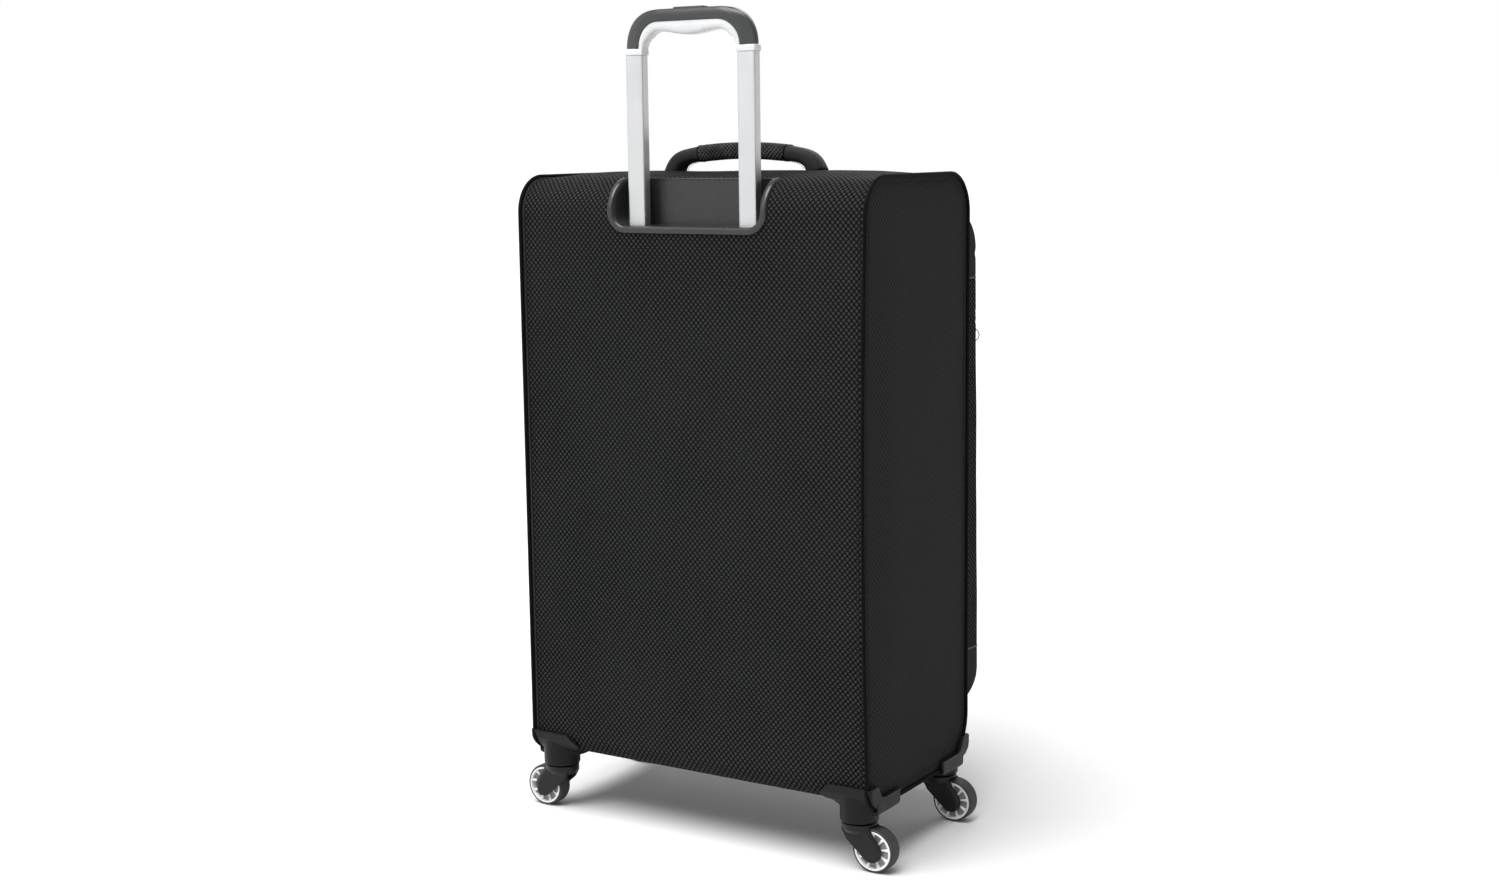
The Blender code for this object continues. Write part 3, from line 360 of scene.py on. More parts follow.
def make_camera():
    """The photo's camera, from its place, its turn and its lens."""
    yaw, pitch, roll = CAMERA_TURN
    ahead = Vector((math.sin(yaw) * math.cos(pitch), -math.cos(yaw) * math.cos(pitch),
                    -math.sin(pitch)))
    right = ahead.cross(Vector((0, 0, 1))).normalized()
    up = right.cross(ahead)
    turned_right = math.cos(roll) * right + math.sin(roll) * up
    turned_up = -math.sin(roll) * right + math.cos(roll) * up
    data = bpy.data.cameras.new("camera")
    data.sensor_width, data.lens = SENSOR_WIDTH, LENS
    data.clip_start, data.clip_end = 0.05, 60.0
    camera = shown("camera", data)
    turn = Matrix((turned_right, turned_up, -ahead)).transposed()
    camera.matrix_world = Matrix.Translation(CAMERA_PLACE) @ turn.to_4x4()
    bpy.context.scene.camera = camera


def softbox(name, place, target, size, power):
    """A square lamp that faces its target."""
    data = bpy.data.lights.new(name, "AREA")
    data.shape = "RECTANGLE"
    data.size = data.size_y = size
    data.energy = power
    lamp = shown(name, data)
    lamp.location = place
    lamp.rotation_euler = (Vector(target) - Vector(place)).to_track_quat("-Z", "Y").to_euler()


def make_sky():
    """A studio sky: white round the horizon, dimmer overhead."""
    world = bpy.data.worlds.new("studio")
    world.use_nodes = True
    nodes, links = world.node_tree.nodes, world.node_tree.links
    split = nodes.new("ShaderNodeSeparateXYZ")
    links.new(nodes.new("ShaderNodeTexCoord").outputs["Generated"], split.inputs[0])
    ramp = nodes.new("ShaderNodeValToRGB")
    steps = ramp.color_ramp.elements
    steps[0].position, steps[0].color = 0.28, (1.0, 1.0, 1.0, 1.0)
    steps[1].position, steps[1].color = 0.75, (0.36, 0.36, 0.37, 1.0)
    links.new(split.outputs[2], ramp.inputs[0])
    links.new(ramp.outputs[0], nodes["Background"].inputs[0])
    # The studio is dimmer beyond the narrow side that faces away from the window.
    dim = nodes.new("ShaderNodeMapRange")
    for socket, value in zip(dim.inputs[1:5], (-0.95, -0.15, 0.22, 1.0)):
        socket.default_value = value
    links.new(split.outputs[0], dim.inputs[0])
    links.new(dim.outputs[0], nodes["Background"].inputs[1])
    bpy.context.scene.world = world
    bpy.context.scene.view_settings.view_transform = "Standard"


def make_studio():
    """The sky, a broad overhead sun, two softboxes and a white floor."""
    make_sky()
    data = bpy.data.lights.new("overhead", "SUN")
    data.energy = 4.3
    data.angle = math.radians(50)
    shown("overhead", data).rotation_euler = (math.radians(-20), math.radians(6), 0.0)
    softbox("key", (0.75, 1.55, 1.75), (0.0, 0.1, 0.75), 0.9, 5.0)
    softbox("front_fill", (0.3, -1.9, 1.8), (0.0, 0.0, 0.5), 1.2, 9.0)
    build = bmesh.new()
    bmesh.ops.create_grid(build, x_segments=24, y_segments=24, size=40.0)
    floor = shown("floor", meshed("floor", build))
    g = Graph("floor_white", grey(0.70), 0.9, specular=0.0)
    g.colour(g.ramp(g.noise(1.5, 3.0), (0.3, grey(0.695)), (0.7, grey(0.705))))
    floor.data.materials.append(g.material)


# --- shaping tools ------------------------------------------------------------------------------
def piece(name, mesh, finishes, body, slot, *replaced):
    """A shown piece: its mesh, its materials, what it rides on and what it stands for."""
    for finish in finishes:
        mesh.materials.append(finish)
    obj = shown(name, mesh)
    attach(obj, body)
    if replaced:
        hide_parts(*replaced)
    return obj


def turns(count):
    """Equal angles round a full turn."""
    return [2 * math.pi * k / count for k in range(count)]


def meshed(name, build):
    """The bmesh as a mesh of its own."""
    mesh = bpy.data.meshes.new(name)
    build.to_mesh(mesh)
    build.free()
    return mesh


def laid_mesh(name, points, faces, places=(), finish=(), merge=1e-6):
    """A mesh with its places on the cloth, its seams joined and its faces turned outwards."""
    mesh = bpy.data.meshes.new(name)
    mesh.from_pydata([p[:] for p in points], [], faces)
    cloth = mesh.uv_layers.new(name="cloth")
    if places:
        cloth.data.foreach_set("uv", np.array(places, np.float32).ravel())
    if finish:
        mesh.polygons.foreach_set("material_index", finish)
    build = bmesh.new()
    build.from_mesh(mesh)
    bmesh.ops.remove_doubles(build, verts=build.verts, dist=merge)
    bmesh.ops.recalc_face_normals(build, faces=build.faces)
    build.to_mesh(mesh)
    build.free()
    return mesh


def skin(name, rows, layout=None, loop=False, ends=False, bands=lambda i, j: 0):
    """Quads through rows of equally many points.

    layout gives each point's place on the cloth in metres; loop joins each row's last point to
    its first; ends closes the first and last row; bands gives each strip of quads a material.
    """
    rows = [[Vector(p) for p in row] for row in rows]
    count, wide = len(rows), len(rows[0])
    layout = layout or arc_layout(rows)
    faces, places, finish = [], [], []
    for i in range(count - 1):
        for j in range(wide - 1):
            quad = ((i, j), (i, j + 1), (i + 1, j + 1), (i + 1, j))
            faces.append([a * wide + b for a, b in quad])
            places += [layout[a][b] for a, b in quad]
            finish.append(bands(i, j))
    if loop:
        last = wide - 1
        for i in range(count - 1):
            step = (rows[i][0] - rows[i][last]).length
            faces.append([i * wide + last, i * wide, (i + 1) * wide, (i + 1) * wide + last])
            a, b = layout[i][last], layout[i + 1][last]
            places += [a, (a[0] + step, a[1]), (b[0] + step, b[1]), b]
            finish.append(bands(i, last))
    if ends:
        for i in (0, count - 1):
            faces.append([i * wide + j for j in range(wide)])
            places += [(p.x, p.z) for p in rows[i]]
            finish.append(bands(min(i, count - 2), 0))
    mesh = laid_mesh(name, [p for row in rows for p in row], faces, places, finish)
    mesh.shade_smooth()
    return mesh


def arc_layout(rows):
    """Each point's distance along its row and along its column."""
    wide = len(rows[0])
    along = [[0.0] * wide for _ in rows]
    up = [[0.0] * wide for _ in rows]
    for i, row in enumerate(rows):
        for j in range(wide):
            if j:
                along[i][j] = along[i][j - 1] + (row[j] - row[j - 1]).length
            if i:
                up[i][j] = up[i - 1][j] + (row[j] - rows[i - 1][j]).length
    return [[(a, b) for a, b in zip(first, second)] for first, second in zip(along, up)]


def thicken(obj, thickness, offset=-1.0, lined=False):
    """Gives a sheet its thickness; lined puts its second material on the inner face."""
    wall = obj.modifiers.new("wall", "SOLIDIFY")
    wall.thickness = thickness
    wall.offset = offset
    wall.material_offset = int(lined)


def settled(obj):
    """The mesh with its modifiers applied."""
    graph = bpy.context.evaluated_depsgraph_get()
    graph.update()
    mesh = bpy.data.meshes.new_from_object(obj.evaluated_get(graph))
    obj.modifiers.clear()
    obj.data = mesh
    return obj


def cut(obj, *tools, operation="DIFFERENCE"):
    """Cut by closed meshes, which are then removed."""
    bodies = [shown(mesh.name, mesh) for mesh in tools]
    for tool in bodies:
        step = obj.modifiers.new(tool.name, "BOOLEAN")
        step.operation = operation
        step.object = tool
    settled(obj)
    for tool in bodies:
        bpy.data.objects.remove(tool)


def block(name, low, high, edge=0.0, segments=3):
    """A box between two corners, with its edges rounded off."""
    build = bmesh.new()
    bmesh.ops.create_cube(build, size=1.0)
    low, high = Vector(low), Vector(high)
    bmesh.ops.scale(build, vec=high - low, verts=build.verts)
    if edge:
        bmesh.ops.bevel(build, geom=build.edges, offset=edge, segments=segments,
                        affect="EDGES", profile=0.5)
    bmesh.ops.translate(build, vec=(low + high) / 2, verts=build.verts)
    return meshed(name, build)


def frames(points, loop=False, up=Vector((0, 0, 1))):
    """Each point with its run and two directions across it, turned as little as possible."""
    points = [Vector(p) for p in points]
    count = len(points)
    found, side = [], None
    for i, point in enumerate(points):
        before = points[i - 1] if i or loop else point
        after = points[(i + 1) % count] if i < count - 1 or loop else point
        run = (after - before).normalized()
        if side is None:
            side = run.cross(up)
            side = side.normalized() if side.length > 1e-4 else run.orthogonal().normalized()
        side = (side - run * side.dot(run)).normalized()
        found.append((point, run, side, side.cross(run)))
    return found


def cord(name, points, radius, sides=10, loop=False):
    """A round cord along a path."""
    rows = [[point + radius * (math.cos(a) * side + math.sin(a) * up) for a in turns(sides)]
            for point, _, side, up in frames(points, loop)]
    if loop:
        rows.append(rows[0])
    return skin(name, rows, loop=True, ends=not loop)


def along_path(points, pitch, loop=False):
    """Places every pitch along a path, with the run there."""
    points = [Vector(p) for p in points]
    if loop:
        points.append(points[0])
    steps = [(b - a).length for a, b in zip(points, points[1:])]
    total = sum(steps)
    count = max(2, round(total / pitch))
    found, walked, i = [], 0.0, 0
    for k in range(count):
        goal = total * (k + 0.5) / count
        while i < len(steps) - 1 and walked + steps[i] < goal:
            walked += steps[i]
            i += 1
        share = (goal - walked) / steps[i] if steps[i] else 0.0
        found.append((points[i].lerp(points[i + 1], share),
                      (points[i + 1] - points[i]).normalized()))
    return found


def square_out(normal, place, run):
    """The way out of a surface, square to the run. normal is a vector or a function of place."""
    out = normal(place) if callable(normal) else Vector(normal)
    return (out - run * out.dot(run)).normalized()


def stitch_mesh(name, path, normal, pitch=0.0042, length=0.0030, radius=0.00042, loop=False):
    """A row of thread stitches lying on a surface."""
    # a stitch's rings from end to end: place along it, share of the radius, height
    rings = ((-0.5, 0.25, -0.6), (-0.3, 1.0, 0.5), (0.3, 1.0, 0.5), (0.5, 0.25, -0.6))
    sides = 6
    points, faces, places = [], [], []
    for centre, run in along_path(path, pitch, loop):
        out = square_out(normal, centre, run)
        side = run.cross(out)
        first = len(points)
        for reach, fat, lift in rings:
            points += [centre + run * reach * length + out * lift * radius
                       + radius * fat * (math.cos(a) * side + math.sin(a) * out)
                       for a in turns(sides)]
        for i in range(len(rings) - 1):
            a, b = first + i * sides, first + (i + 1) * sides
            for k in range(sides):
                j = (k + 1) % sides
                faces.append((a + k, a + j, b + j, b + k))
                places += [((k + s) * 2e-4, (i + t) * 1e-3)
                           for s, t in ((0, 0), (1, 0), (1, 1), (0, 1))]
    mesh = laid_mesh(name, points, faces, places, merge=1e-7)
    mesh.shade_smooth()
    return mesh


def stitches(name, path, normal, body, slot="shell_cloth", **how):
    """A piece of thread stitches along a path."""
    return piece(name, stitch_mesh(name, path, normal, **how), [THREAD], body, slot)


def strip(name, path, normal, half, thickness, loop=False):
    """A flat band along a path, lying on a surface."""
    rows = []
    for point, run, _, _ in frames(path, loop):
        out = square_out(normal, point, run)
        side = run.cross(out)
        rows.append([point - side * half, point - side * half * 0.94 + out * thickness,
                     point + side * half * 0.94 + out * thickness, point + side * half])
    if loop:
        rows.append(rows[0])
    return skin(name, rows, loop=True, ends=not loop)


def teeth(name, path, normal, side_of, pitch=0.0019, loop=False):
    """One row of zip coil: small rounded teeth reaching from one tape to the middle."""
    corners = ((-1, 0, 0), (1, 0, 0), (1, 1, 0), (-1, 1, 0),
               (-0.7, 0.05, 1), (0.7, 0.05, 1), (0.7, 0.9, 1), (-0.7, 0.9, 1))
    quads = ((4, 5, 6, 7), (0, 1, 5, 4), (1, 2, 6, 5), (2, 3, 7, 6), (3, 0, 4, 7), (0, 3, 2, 1))
    points, faces = [], []
    for centre, run in along_path(path, pitch, loop):
        out = normal(centre)
        side = run.cross(out).normalized() * side_of
        faces += [[len(points) + k for k in quad] for quad in quads]
        points += [centre + run * along * pitch * 0.30 - side * 0.0016
                   + side * across * 0.0024 + out * up * 0.0011 for along, across, up in corners]
    return laid_mesh(name, points, faces, merge=1e-7)


# --- the case's form ----------------------------------------------------------------------------
def smooth(low, high, value):
    """0 at low and 1 at high, with level ends."""
    t = min(1.0, max(0.0, (value - low) / (high - low)))
    return t * t * (3 - 2 * t)


def line(start, end, count):
    """Points from start up to, and without, end."""
    return [tuple(a + (b - a) * i / count for a, b in zip(start, end)) for i in range(count)]


def case_outline(inset=0.0, x=None, bend_steps=10, pitch=0.010):
    """The upright outline as (y, z), from the front's middle over the top and back round again."""
    middle = 0.0 if x is None else max(0.0, 1.0 - (x / HALF_WIDTH) ** CROWN_SHAPE)
    half = HALF_DEPTH - inset
    low, high = CASE_BOTTOM + inset, CASE_TOP - inset
    back_low, back_high, front_high, front_low = EDGE_RADII
    back_low += BACK_BOTTOM_FULLNESS * middle
    bends = ((-1, 1, 180, front_high), (1, 1, 90, back_high), (1, -1, 0, back_low),
             (-1, -1, -90, front_low))
    counts = [round(span / pitch) for span in (0.30, 0.16, 0.60, 0.16, 0.28)]
    place = (-half, (low + high) / 2)
    points = []
    for (side_y, side_z, start, radius), count in zip(bends, counts):
        bend = radius - inset
        centre = (side_y * (half - bend), high - bend if side_z > 0 else low + bend)
        arc = []
        for i in range(bend_steps + 1):
            angle = math.radians(start - 90 * i / bend_steps)
            arc.append((centre[0] + bend * math.cos(angle), centre[1] + bend * math.sin(angle)))
        points += line(place, arc[0], count) + arc[:-1]
        place = arc[-1]
    points += line(place, (-half, (low + high) / 2), counts[4])

    def crowned(y, z):
        share = max(0.0, 1.0 - (y / CROWN_REACH) ** 2)
        above = z - (CASE_TOP - EDGE_BLEND)
        below = CASE_BOTTOM + EDGE_BLEND - z
        if above > 0:
            return y, z + TOP_CROWN * middle * share * min(1.0, above / 0.05)
        if below > 0:
            return y, z - BOTTOM_SAG * middle * min(1.0, below / 0.05)
        return y, z
    return [crowned(y, z) for y, z in points]


def seam_shift(x, y, z):
    """How far the right back seam pulls the cloth beside it inwards."""
    if x > 0:
        return 0.0
    height = math.sin(math.pi * min(1.0, max(0.0, (z - CASE_BOTTOM) / (CASE_TOP - CASE_BOTTOM))))
    return SEAM_BOW * height * smooth(0.05, HALF_DEPTH, y) * smooth(0.10, HALF_WIDTH, -x)


def placed(x, y, z):
    """A point of the case frame in the object's frame, with the seam drawn in."""
    return Vector((x + seam_shift(x, y, z), y + CASE_Y, z))


def ripple(p, size, height, seed=0.0):
    """Slow unevenness of stretched cloth."""
    return height * noise.noise(Vector((p[0] / size, p[1] / size, p[2] / size + seed)))


def lid_shape(grow, low=-0.16, high=-0.085):
    """A block that cuts the lid out of the case's form, grown on every side."""
    return block("lid_shape", (-LID_HALF - grow, low + CASE_Y, LID_LOW - grow),
                 (LID_HALF + grow, high + CASE_Y, LID_HIGH + grow), LID_CORNER, 5)


def cup_outline(grow=0.0, top=0.80, steps=10):
    """The trolley cup seen from behind (x, z), from one top end round the foot to the other."""
    corner = 0.020
    middle = (CUP_HALF + grow - corner, CUP_LOW.z - grow + corner)
    half = [(middle[0] + corner * math.cos(math.radians(a)),
             middle[1] + corner * math.sin(math.radians(a)))
            for a in (-90 + 90 * k / steps for k in range(steps + 1))]
    half += line((CUP_HALF + grow, middle[1]), (CUP_HALF + grow, top), 14)[1:]
    return [(-x, z) for x, z in reversed(half)] + half


def cloth_rings(xs):
    """The cloth's outline at each x, and its places on the cloth."""
    rings = [[placed(x, y, z) for y, z in case_outline(CLOTH_INSET, x)] for x in xs]
    base = case_outline(CLOTH_INSET)
    along = [0.0]
    for before, after in zip(base, base[1:]):
        along.append(along[-1] + math.dist(before, after))
    return rings, [[(p.x, -s) for p, s in zip(ring, along)] for ring in rings]


def make_wrap():
    """One band of cloth makes the back, top and bottom, and the frame round the lid."""
    half = HALF_WIDTH - PIPING_RADIUS
    # closer together towards the two seams
    rings, layout = cloth_rings([-half * math.cos(math.pi * i / 56) for i in range(57)])
    for p in (p for ring in rings for p in ring):
        edge = smooth(half, half - 0.03, abs(p.x))
        swell = ripple(p, 0.11, 0.0007) + ripple(p, 0.035, 0.0002, 7.0)
        if p.y - CASE_Y > 0.10:
            p.y += swell * edge
        elif p.z > CASE_TOP - 0.02:
            p.z += 2 * swell * edge
    obj = piece("wrap_cloth", skin("wrap_cloth", rings, layout, loop=True), [FABRIC, LINING],
                "root", "shell_cloth", "shell_wrap")
    thicken(obj, CLOTH, lined=True)
    hole = cup_outline(-0.0045, 0.83)
    rows = [[(x, y, z) for x, z in hole] for y in (CUP_LOW.y + 0.0005, CUP_LOW.y + 0.06)]
    cut(obj, lid_shape(LID_GAP), skin("cup_hole", rows, loop=True, ends=True))
    # The rows of thread beside both seams, left out beside the lid.
    for name, side in SIDES:
        x = side * (HALF_WIDTH - 0.0085)
        path = [placed(x, y, z) for y, z in case_outline(CLOTH_INSET - 0.0002, x, 6, 0.02)]
        path = [p for p in path if p.y >= CASE_Y - 0.11
                or not LID_LOW - 0.006 < p.z < LID_HIGH + 0.006]
        first = max(range(len(path)), key=lambda k: (path[k - 1] - path[k]).length)
        stitches(f"wrap_stitches_{name}", path[first:] + path[:first], outline_normal, "root")


def outline_normal(p):
    """The outward direction of the case's outline at a point of its cloth, across X."""
    y, z = p.y - CASE_Y, p.z
    back_low, back_high, front_high, front_low = EDGE_RADII
    if z > MID_HEIGHT:
        radius = back_high if y > 0 else front_high
        out_z = max(0.0, z - CASE_TOP + radius)
    else:
        radius = back_low if y > 0 else front_low
        out_z = min(0.0, z - CASE_BOTTOM - radius)
    out_y = math.copysign(max(0.0, abs(y) - HALF_DEPTH + radius), y)
    if out_y or out_z:
        return Vector((0.0, out_y, out_z)).normalized()
    return Vector((0.0, math.copysign(1.0, y), 0.0))


def side_rows(inset, x, bulge):
    """The side's cloth as rows of points, level by level, from back to front."""
    outline = case_outline(inset, bend_steps=14, pitch=0.008)
    rising = sorted(((z, y) for y, z in outline), key=lambda p: p[0])
    halves = [p for p in rising if p[1] > 0], [p for p in rising if p[1] < 0]
    heights = sorted({round(z, 6) for z, _ in halves[0]})
    top = max(z for _, z in outline)
    rows, layout = [], []
    for z in heights:
        back, front = (float(np.interp(z, *zip(*half))) for half in halves)
        if z >= top - 1e-5 or z <= heights[0] + 1e-5:
            back, front = HALF_DEPTH - 0.03, -HALF_DEPTH + (0.05 if z > MID_HEIGHT else 0.06)
        row, places = [], []
        for k in range(25):
            share = (1 - math.cos(math.pi * k / 24)) / 2
            y = back + (front - back) * share
            full = (1 - (2 * share - 1) ** 4) * smooth(0, 0.05, z - heights[0]) \
                * smooth(0, 0.05, top - z)
            p = placed(x, y, z)
            p.x += math.copysign(bulge * full + ripple((y, z, 0), 0.09, 0.0006) * full, x)
            row.append(p)
            places.append((y, z))
        rows.append(row)
        layout.append(places)
    return rows, layout


def make_sides():
    """Both side panels with their thread, and the piping round them."""
    for name, side in SIDES:
        cloth, piping = "side_cloth_" + name, "piping_cord_" + name
        rows, layout = side_rows(PIPING_RADIUS * 0.6, side * (HALF_WIDTH - 0.0010), 0.0022)
        obj = piece(cloth, skin(cloth, rows, layout), [SIDE_FABRIC, LINING], "root",
                    "shell_cloth", "side_panel_" + name)
        thicken(obj, CLOTH, lined=True)
        settled(obj)
        x = side * (HALF_WIDTH + 0.0002)
        outline = case_outline(0.0088, bend_steps=6, pitch=0.02)
        stitches(f"side_stitches_{name}", [placed(x, y, z) for y, z in outline],
                 (side, 0, 0), "root", loop=True)
        path = [placed(side * HALF_WIDTH, y, z) for y, z in case_outline(bend_steps=12)]
        piece(piping, cord(piping, path, PIPING_RADIUS, 12, loop=True), [PIPING], "root",
              "piping", "piping_" + name)


# --- inside -------------------------------------------------------------------------------------
def make_lining():
    """The lining hangs over the trolley channels, gathered a little at its bound edge."""
    low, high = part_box("lining_panel")
    levels, columns = 70, 52
    rows = []
    for i in range(levels + 1):
        z = low.z + (high.z - low.z) * i / levels
        row = []
        for j in range(columns + 1):
            x = low.x + (high.x - low.x) * j / columns
            edge = smooth(0.0, 0.05, min(x - low.x, high.x - x, z - low.z, high.z - z))
            fold = ripple((x, 0, z), 0.10, 0.0030, 3.0) + ripple((x, 0, z), 0.030, 0.0006, 5.0)
            gather = 0.0005 * math.sin(x * 700 + 3 * noise.noise(Vector((x * 40, z * 9, 0))))
            row.append((x, low.y - 0.0006 + fold * edge + gather * (1 - edge), z))
        rows.append(row)
    obj = piece("lining_cloth", skin("lining_cloth", rows), [LINING], "root", "lining",
                "lining_panel")
    thicken(obj, 0.0008)
    settled(obj)
    border = rows[0][::4] + [row[-1] for row in rows[5:levels:5]]
    border += rows[-1][::-4] + [row[0] for row in rows[levels - 5:0:-5]]
    piece("lining_binding", cord("lining_binding", border, 0.0016, 8, loop=True), [ZIP_TAPE],
          "root", "lining")


def make_strap():
    """A packing strap lying slack over the lining, in two halves that click together."""
    low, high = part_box("packing_strap")
    strap_z, strap_y = (low.z + high.z) / 2, high.y - 0.0022
    section = ((-1, 0.0), (-0.96, -0.0007), (0, -0.0008), (0.96, -0.0007), (1, 0.0),
               (0.96, 0.0007), (0, 0.0007), (-0.96, 0.0007))
    for name, side in SIDES:
        start, end = side * high.x, side * 0.0225
        rows = []
        for i in range(57):
            t = i / 56
            slack = math.sin(math.pi * t)
            y = strap_y - 0.0036 * slack - 0.0012 * t + 0.0010 * math.sin(9 * t) * slack
            drop, lean = -0.0030 * slack, 0.10 * math.sin(5 * t) * slack
            rows.append([(start + (end - start) * t, y + lean * s * 0.018 + lift,
                          strap_z + drop + s * 0.0185) for s, lift in section])
        replaced = ["packing_strap"] if side < 0 else []
        piece("strap_" + name, skin("strap_" + name, rows, loop=True, ends=True), [WEBBING],
              "root", "webbing", *replaced)
        anchor = [(start - side * 0.006, strap_y - 0.0012, strap_z + s * 0.0165)
                  for s in (-1, -0.5, 0, 0.5, 1)]
        stitches(f"strap_{name}_stitches", anchor, (0, -1, 0), "root", "webbing",
                 pitch=0.0030, length=0.0022)
    make_buckle(low.y + 0.0052, strap_z)


def make_buckle(middle, strap_z):
    """A side-release buckle: a body with a slot and a mouth, and a tongue with two prongs."""
    def bar(name, x_span, y_span, z_span, edge=0.0008, segments=2):
        """A block placed from the buckle's middle."""
        corners = ((x, middle + y, strap_z + z) for x, y, z in zip(x_span, y_span, z_span))
        return block(name, *corners, edge, segments)

    through, webbing = (-0.02, 0.02), (-0.0195, 0.0195)
    obj = piece("buckle_body", bar("buckle_body", (-0.0325, 0.0085), (-0.0042, 0.0040),
                                   (-0.0235, 0.0235), 0.0024, 4), [BLACK], "root", "moulded_black")
    cut(obj, bar("slot", (-0.0285, -0.0245), through, webbing),
        bar("mouth", (-0.0060, 0.02), (-0.0022, 0.0022), (-0.0150, 0.0150)),
        bar("side_low", (-0.0120, 0.0010), through, (-0.03, -0.0185), 0.0015),
        bar("side_high", (-0.0120, 0.0010), through, (0.0185, 0.03), 0.0015))
    sharp(obj, 40)
    obj = piece("buckle_tongue", bar("buckle_tongue", (0.0090, 0.0325), (-0.0038, 0.0036),
                                     (-0.0225, 0.0225), 0.0022, 4), [BLACK], "root",
                "moulded_black")
    cut(obj, bar("slot", (0.0245, 0.0285), through, webbing))
    sharp(obj, 40)
    for name, z in (("low", -0.0205), ("high", 0.0205)):
        prong = bar("prong", (-0.0110, 0.0100), (-0.0016, 0.0016), (z - 0.0017, z + 0.0017),
                    0.0010, 3)
        piece("buckle_prong_" + name, prong, [BLACK], "root", "moulded_black")


# --- lid, pockets and zips ----------------------------------------------------------------------
def rounded_window(half, low, high, corner, steps=6):
    """A rectangle (x, z) with rounded corners, from the top's middle round."""
    points = [(0.0, high)]
    for side_x, side_z, start in ((1, 1, 90), (1, -1, 0), (-1, -1, -90), (-1, 1, 180)):
        middle = (side_x * (half - corner), high - corner if side_z > 0 else low + corner)
        points += [(middle[0] + corner * math.cos(math.radians(start - 90 * i / steps)),
                    middle[1] + corner * math.sin(math.radians(start - 90 * i / steps)))
                   for i in range(steps + 1)]
    full = []
    for a, b in zip(points, points[1:] + points[:1]):
        full += line(a, b, max(1, round(math.dist(a, b) / 0.02)))
    return full


def front_face(x, z, out=0.0):
    """A point of the case's front cloth, which bends back near its top and bottom."""
    radius_high, radius_low = EDGE_RADII[2], EDGE_RADII[3]
    y = -(HALF_DEPTH - CLOTH_INSET)
    start_high, start_low = CASE_TOP - radius_high, CASE_BOTTOM + radius_low
    lean = 0.0
    if z > start_high:
        lean = math.asin(min(1.0, (z - start_high) / (radius_high - CLOTH_INSET)))
        y += (radius_high - CLOTH_INSET) * (1 - math.cos(lean))
    elif z < start_low:
        lean = -math.asin(min(1.0, (start_low - z) / (radius_low - CLOTH_INSET)))
        y += (radius_low - CLOTH_INSET) * (1 - math.cos(lean))
    return Vector((x, y - out * math.cos(lean) + CASE_Y, z + out * math.sin(lean)))


def front_normal(p):
    """The way out of the case's front cloth at a point."""
    return (front_face(p.x, p.z, 1.0) - front_face(p.x, p.z)).normalized()


def lid_window(grow, corner):
    """The lid's rounded outline (x, z), grown on every side."""
    return rounded_window(LID_HALF + grow, LID_LOW - grow, LID_HIGH + grow, corner)


def make_lid():
    """The lid's panel, cut from the same form as the wrap, and the main zip round it."""
    half = HALF_WIDTH - PIPING_RADIUS
    rings, layout = cloth_rings([-half + 2 * half * i / 24 for i in range(25)])
    obj = piece("lid_cloth", skin("lid_cloth", rings, layout, loop=True), [FABRIC, LINING],
                "lid", "shell_cloth", "lid_panel")
    thicken(obj, 0.0028, lined=True)
    cut(obj, lid_shape(0.0), operation="INTERSECT")
    edge = HALF_WIDTH - 0.0062
    for name, reach, body, sign, replaced in (("lid", -0.0050, "lid", 1, []),
                                              ("wrap", 0.0050, "root", -1, ["main_zip_tape"])):
        tape, coil = f"main_zip_{name}_tape", f"main_zip_{name}_teeth"
        path = [front_face(max(-edge, min(edge, x)), z, 0.0001)
                for x, z in lid_window(reach, LID_CORNER + reach)]
        piece(tape, strip(tape, path, front_normal, 0.0042, 0.0007, loop=True), [ZIP_TAPE], body,
              "zip_tape", *replaced)
        path = [front_face(x, z, 0.0006) for x, z in lid_window(LID_GAP / 2, LID_CORNER)]
        piece(coil, teeth(coil, path, front_normal, sign, loop=True), [ZIP_COIL], body,
              "zip_tape")
    inner = lid_window(-0.0075, 0.006)
    stitches("lid_stitches", [front_face(x, z, 0.0002) for x, z in inner], front_normal, "lid",
             loop=True)


def pocket_reach(z):
    """How far the filled pockets stand out of the lid at one height."""
    share = (z - 0.19) / 0.49
    full = 0.0600 - 0.0095 * share
    round_top, round_bottom = 0.045, 0.035
    if z > POCKET_HIGH - round_top:
        full *= math.sqrt(max(0.0, 1 - ((z - POCKET_HIGH + round_top) / round_top) ** 2))
    if z < POCKET_LOW + round_bottom:
        full *= math.sqrt(max(0.0, 1 - ((POCKET_LOW + round_bottom - z) / round_bottom) ** 2))
    return full


def pocket_point(x, z, out=0.0):
    """A point of the pockets' front, which swells a little between its edges and seams."""
    reach = pocket_reach(z)
    across = 1 - (abs(x) / POCKET_HALF) ** 4
    low, high = (POCKET_LOW, POCKET_SPLIT) if z < POCKET_SPLIT else (POCKET_SPLIT, POCKET_HIGH)
    up = math.sin(math.pi * (z - low) / (high - low))
    swell = 0.0036 * across * up * smooth(0.0, 0.03, reach)
    groove = 0.0022 * sum(math.exp(-((z - seam) / 0.0042) ** 2) for seam in (ZIP_LOWER, ZIP_UPPER))
    groove += 0.0010 * sum(math.exp(-((z - seam) / 0.0020) ** 2)
                           for seam in (SEAM_LOWER, SEAM_UPPER, POCKET_SPLIT))
    y = POCKET_BASE - max(0.0008, reach + swell - groove) - out
    return Vector((x, y + CASE_Y, z))


def pocket_normal(p):
    """The way out of the pockets' front at a point."""
    step = 0.002
    up = pocket_point(p.x, p.z + step) - pocket_point(p.x, p.z - step)
    return Vector((0.0, -up.z, up.y)).normalized()


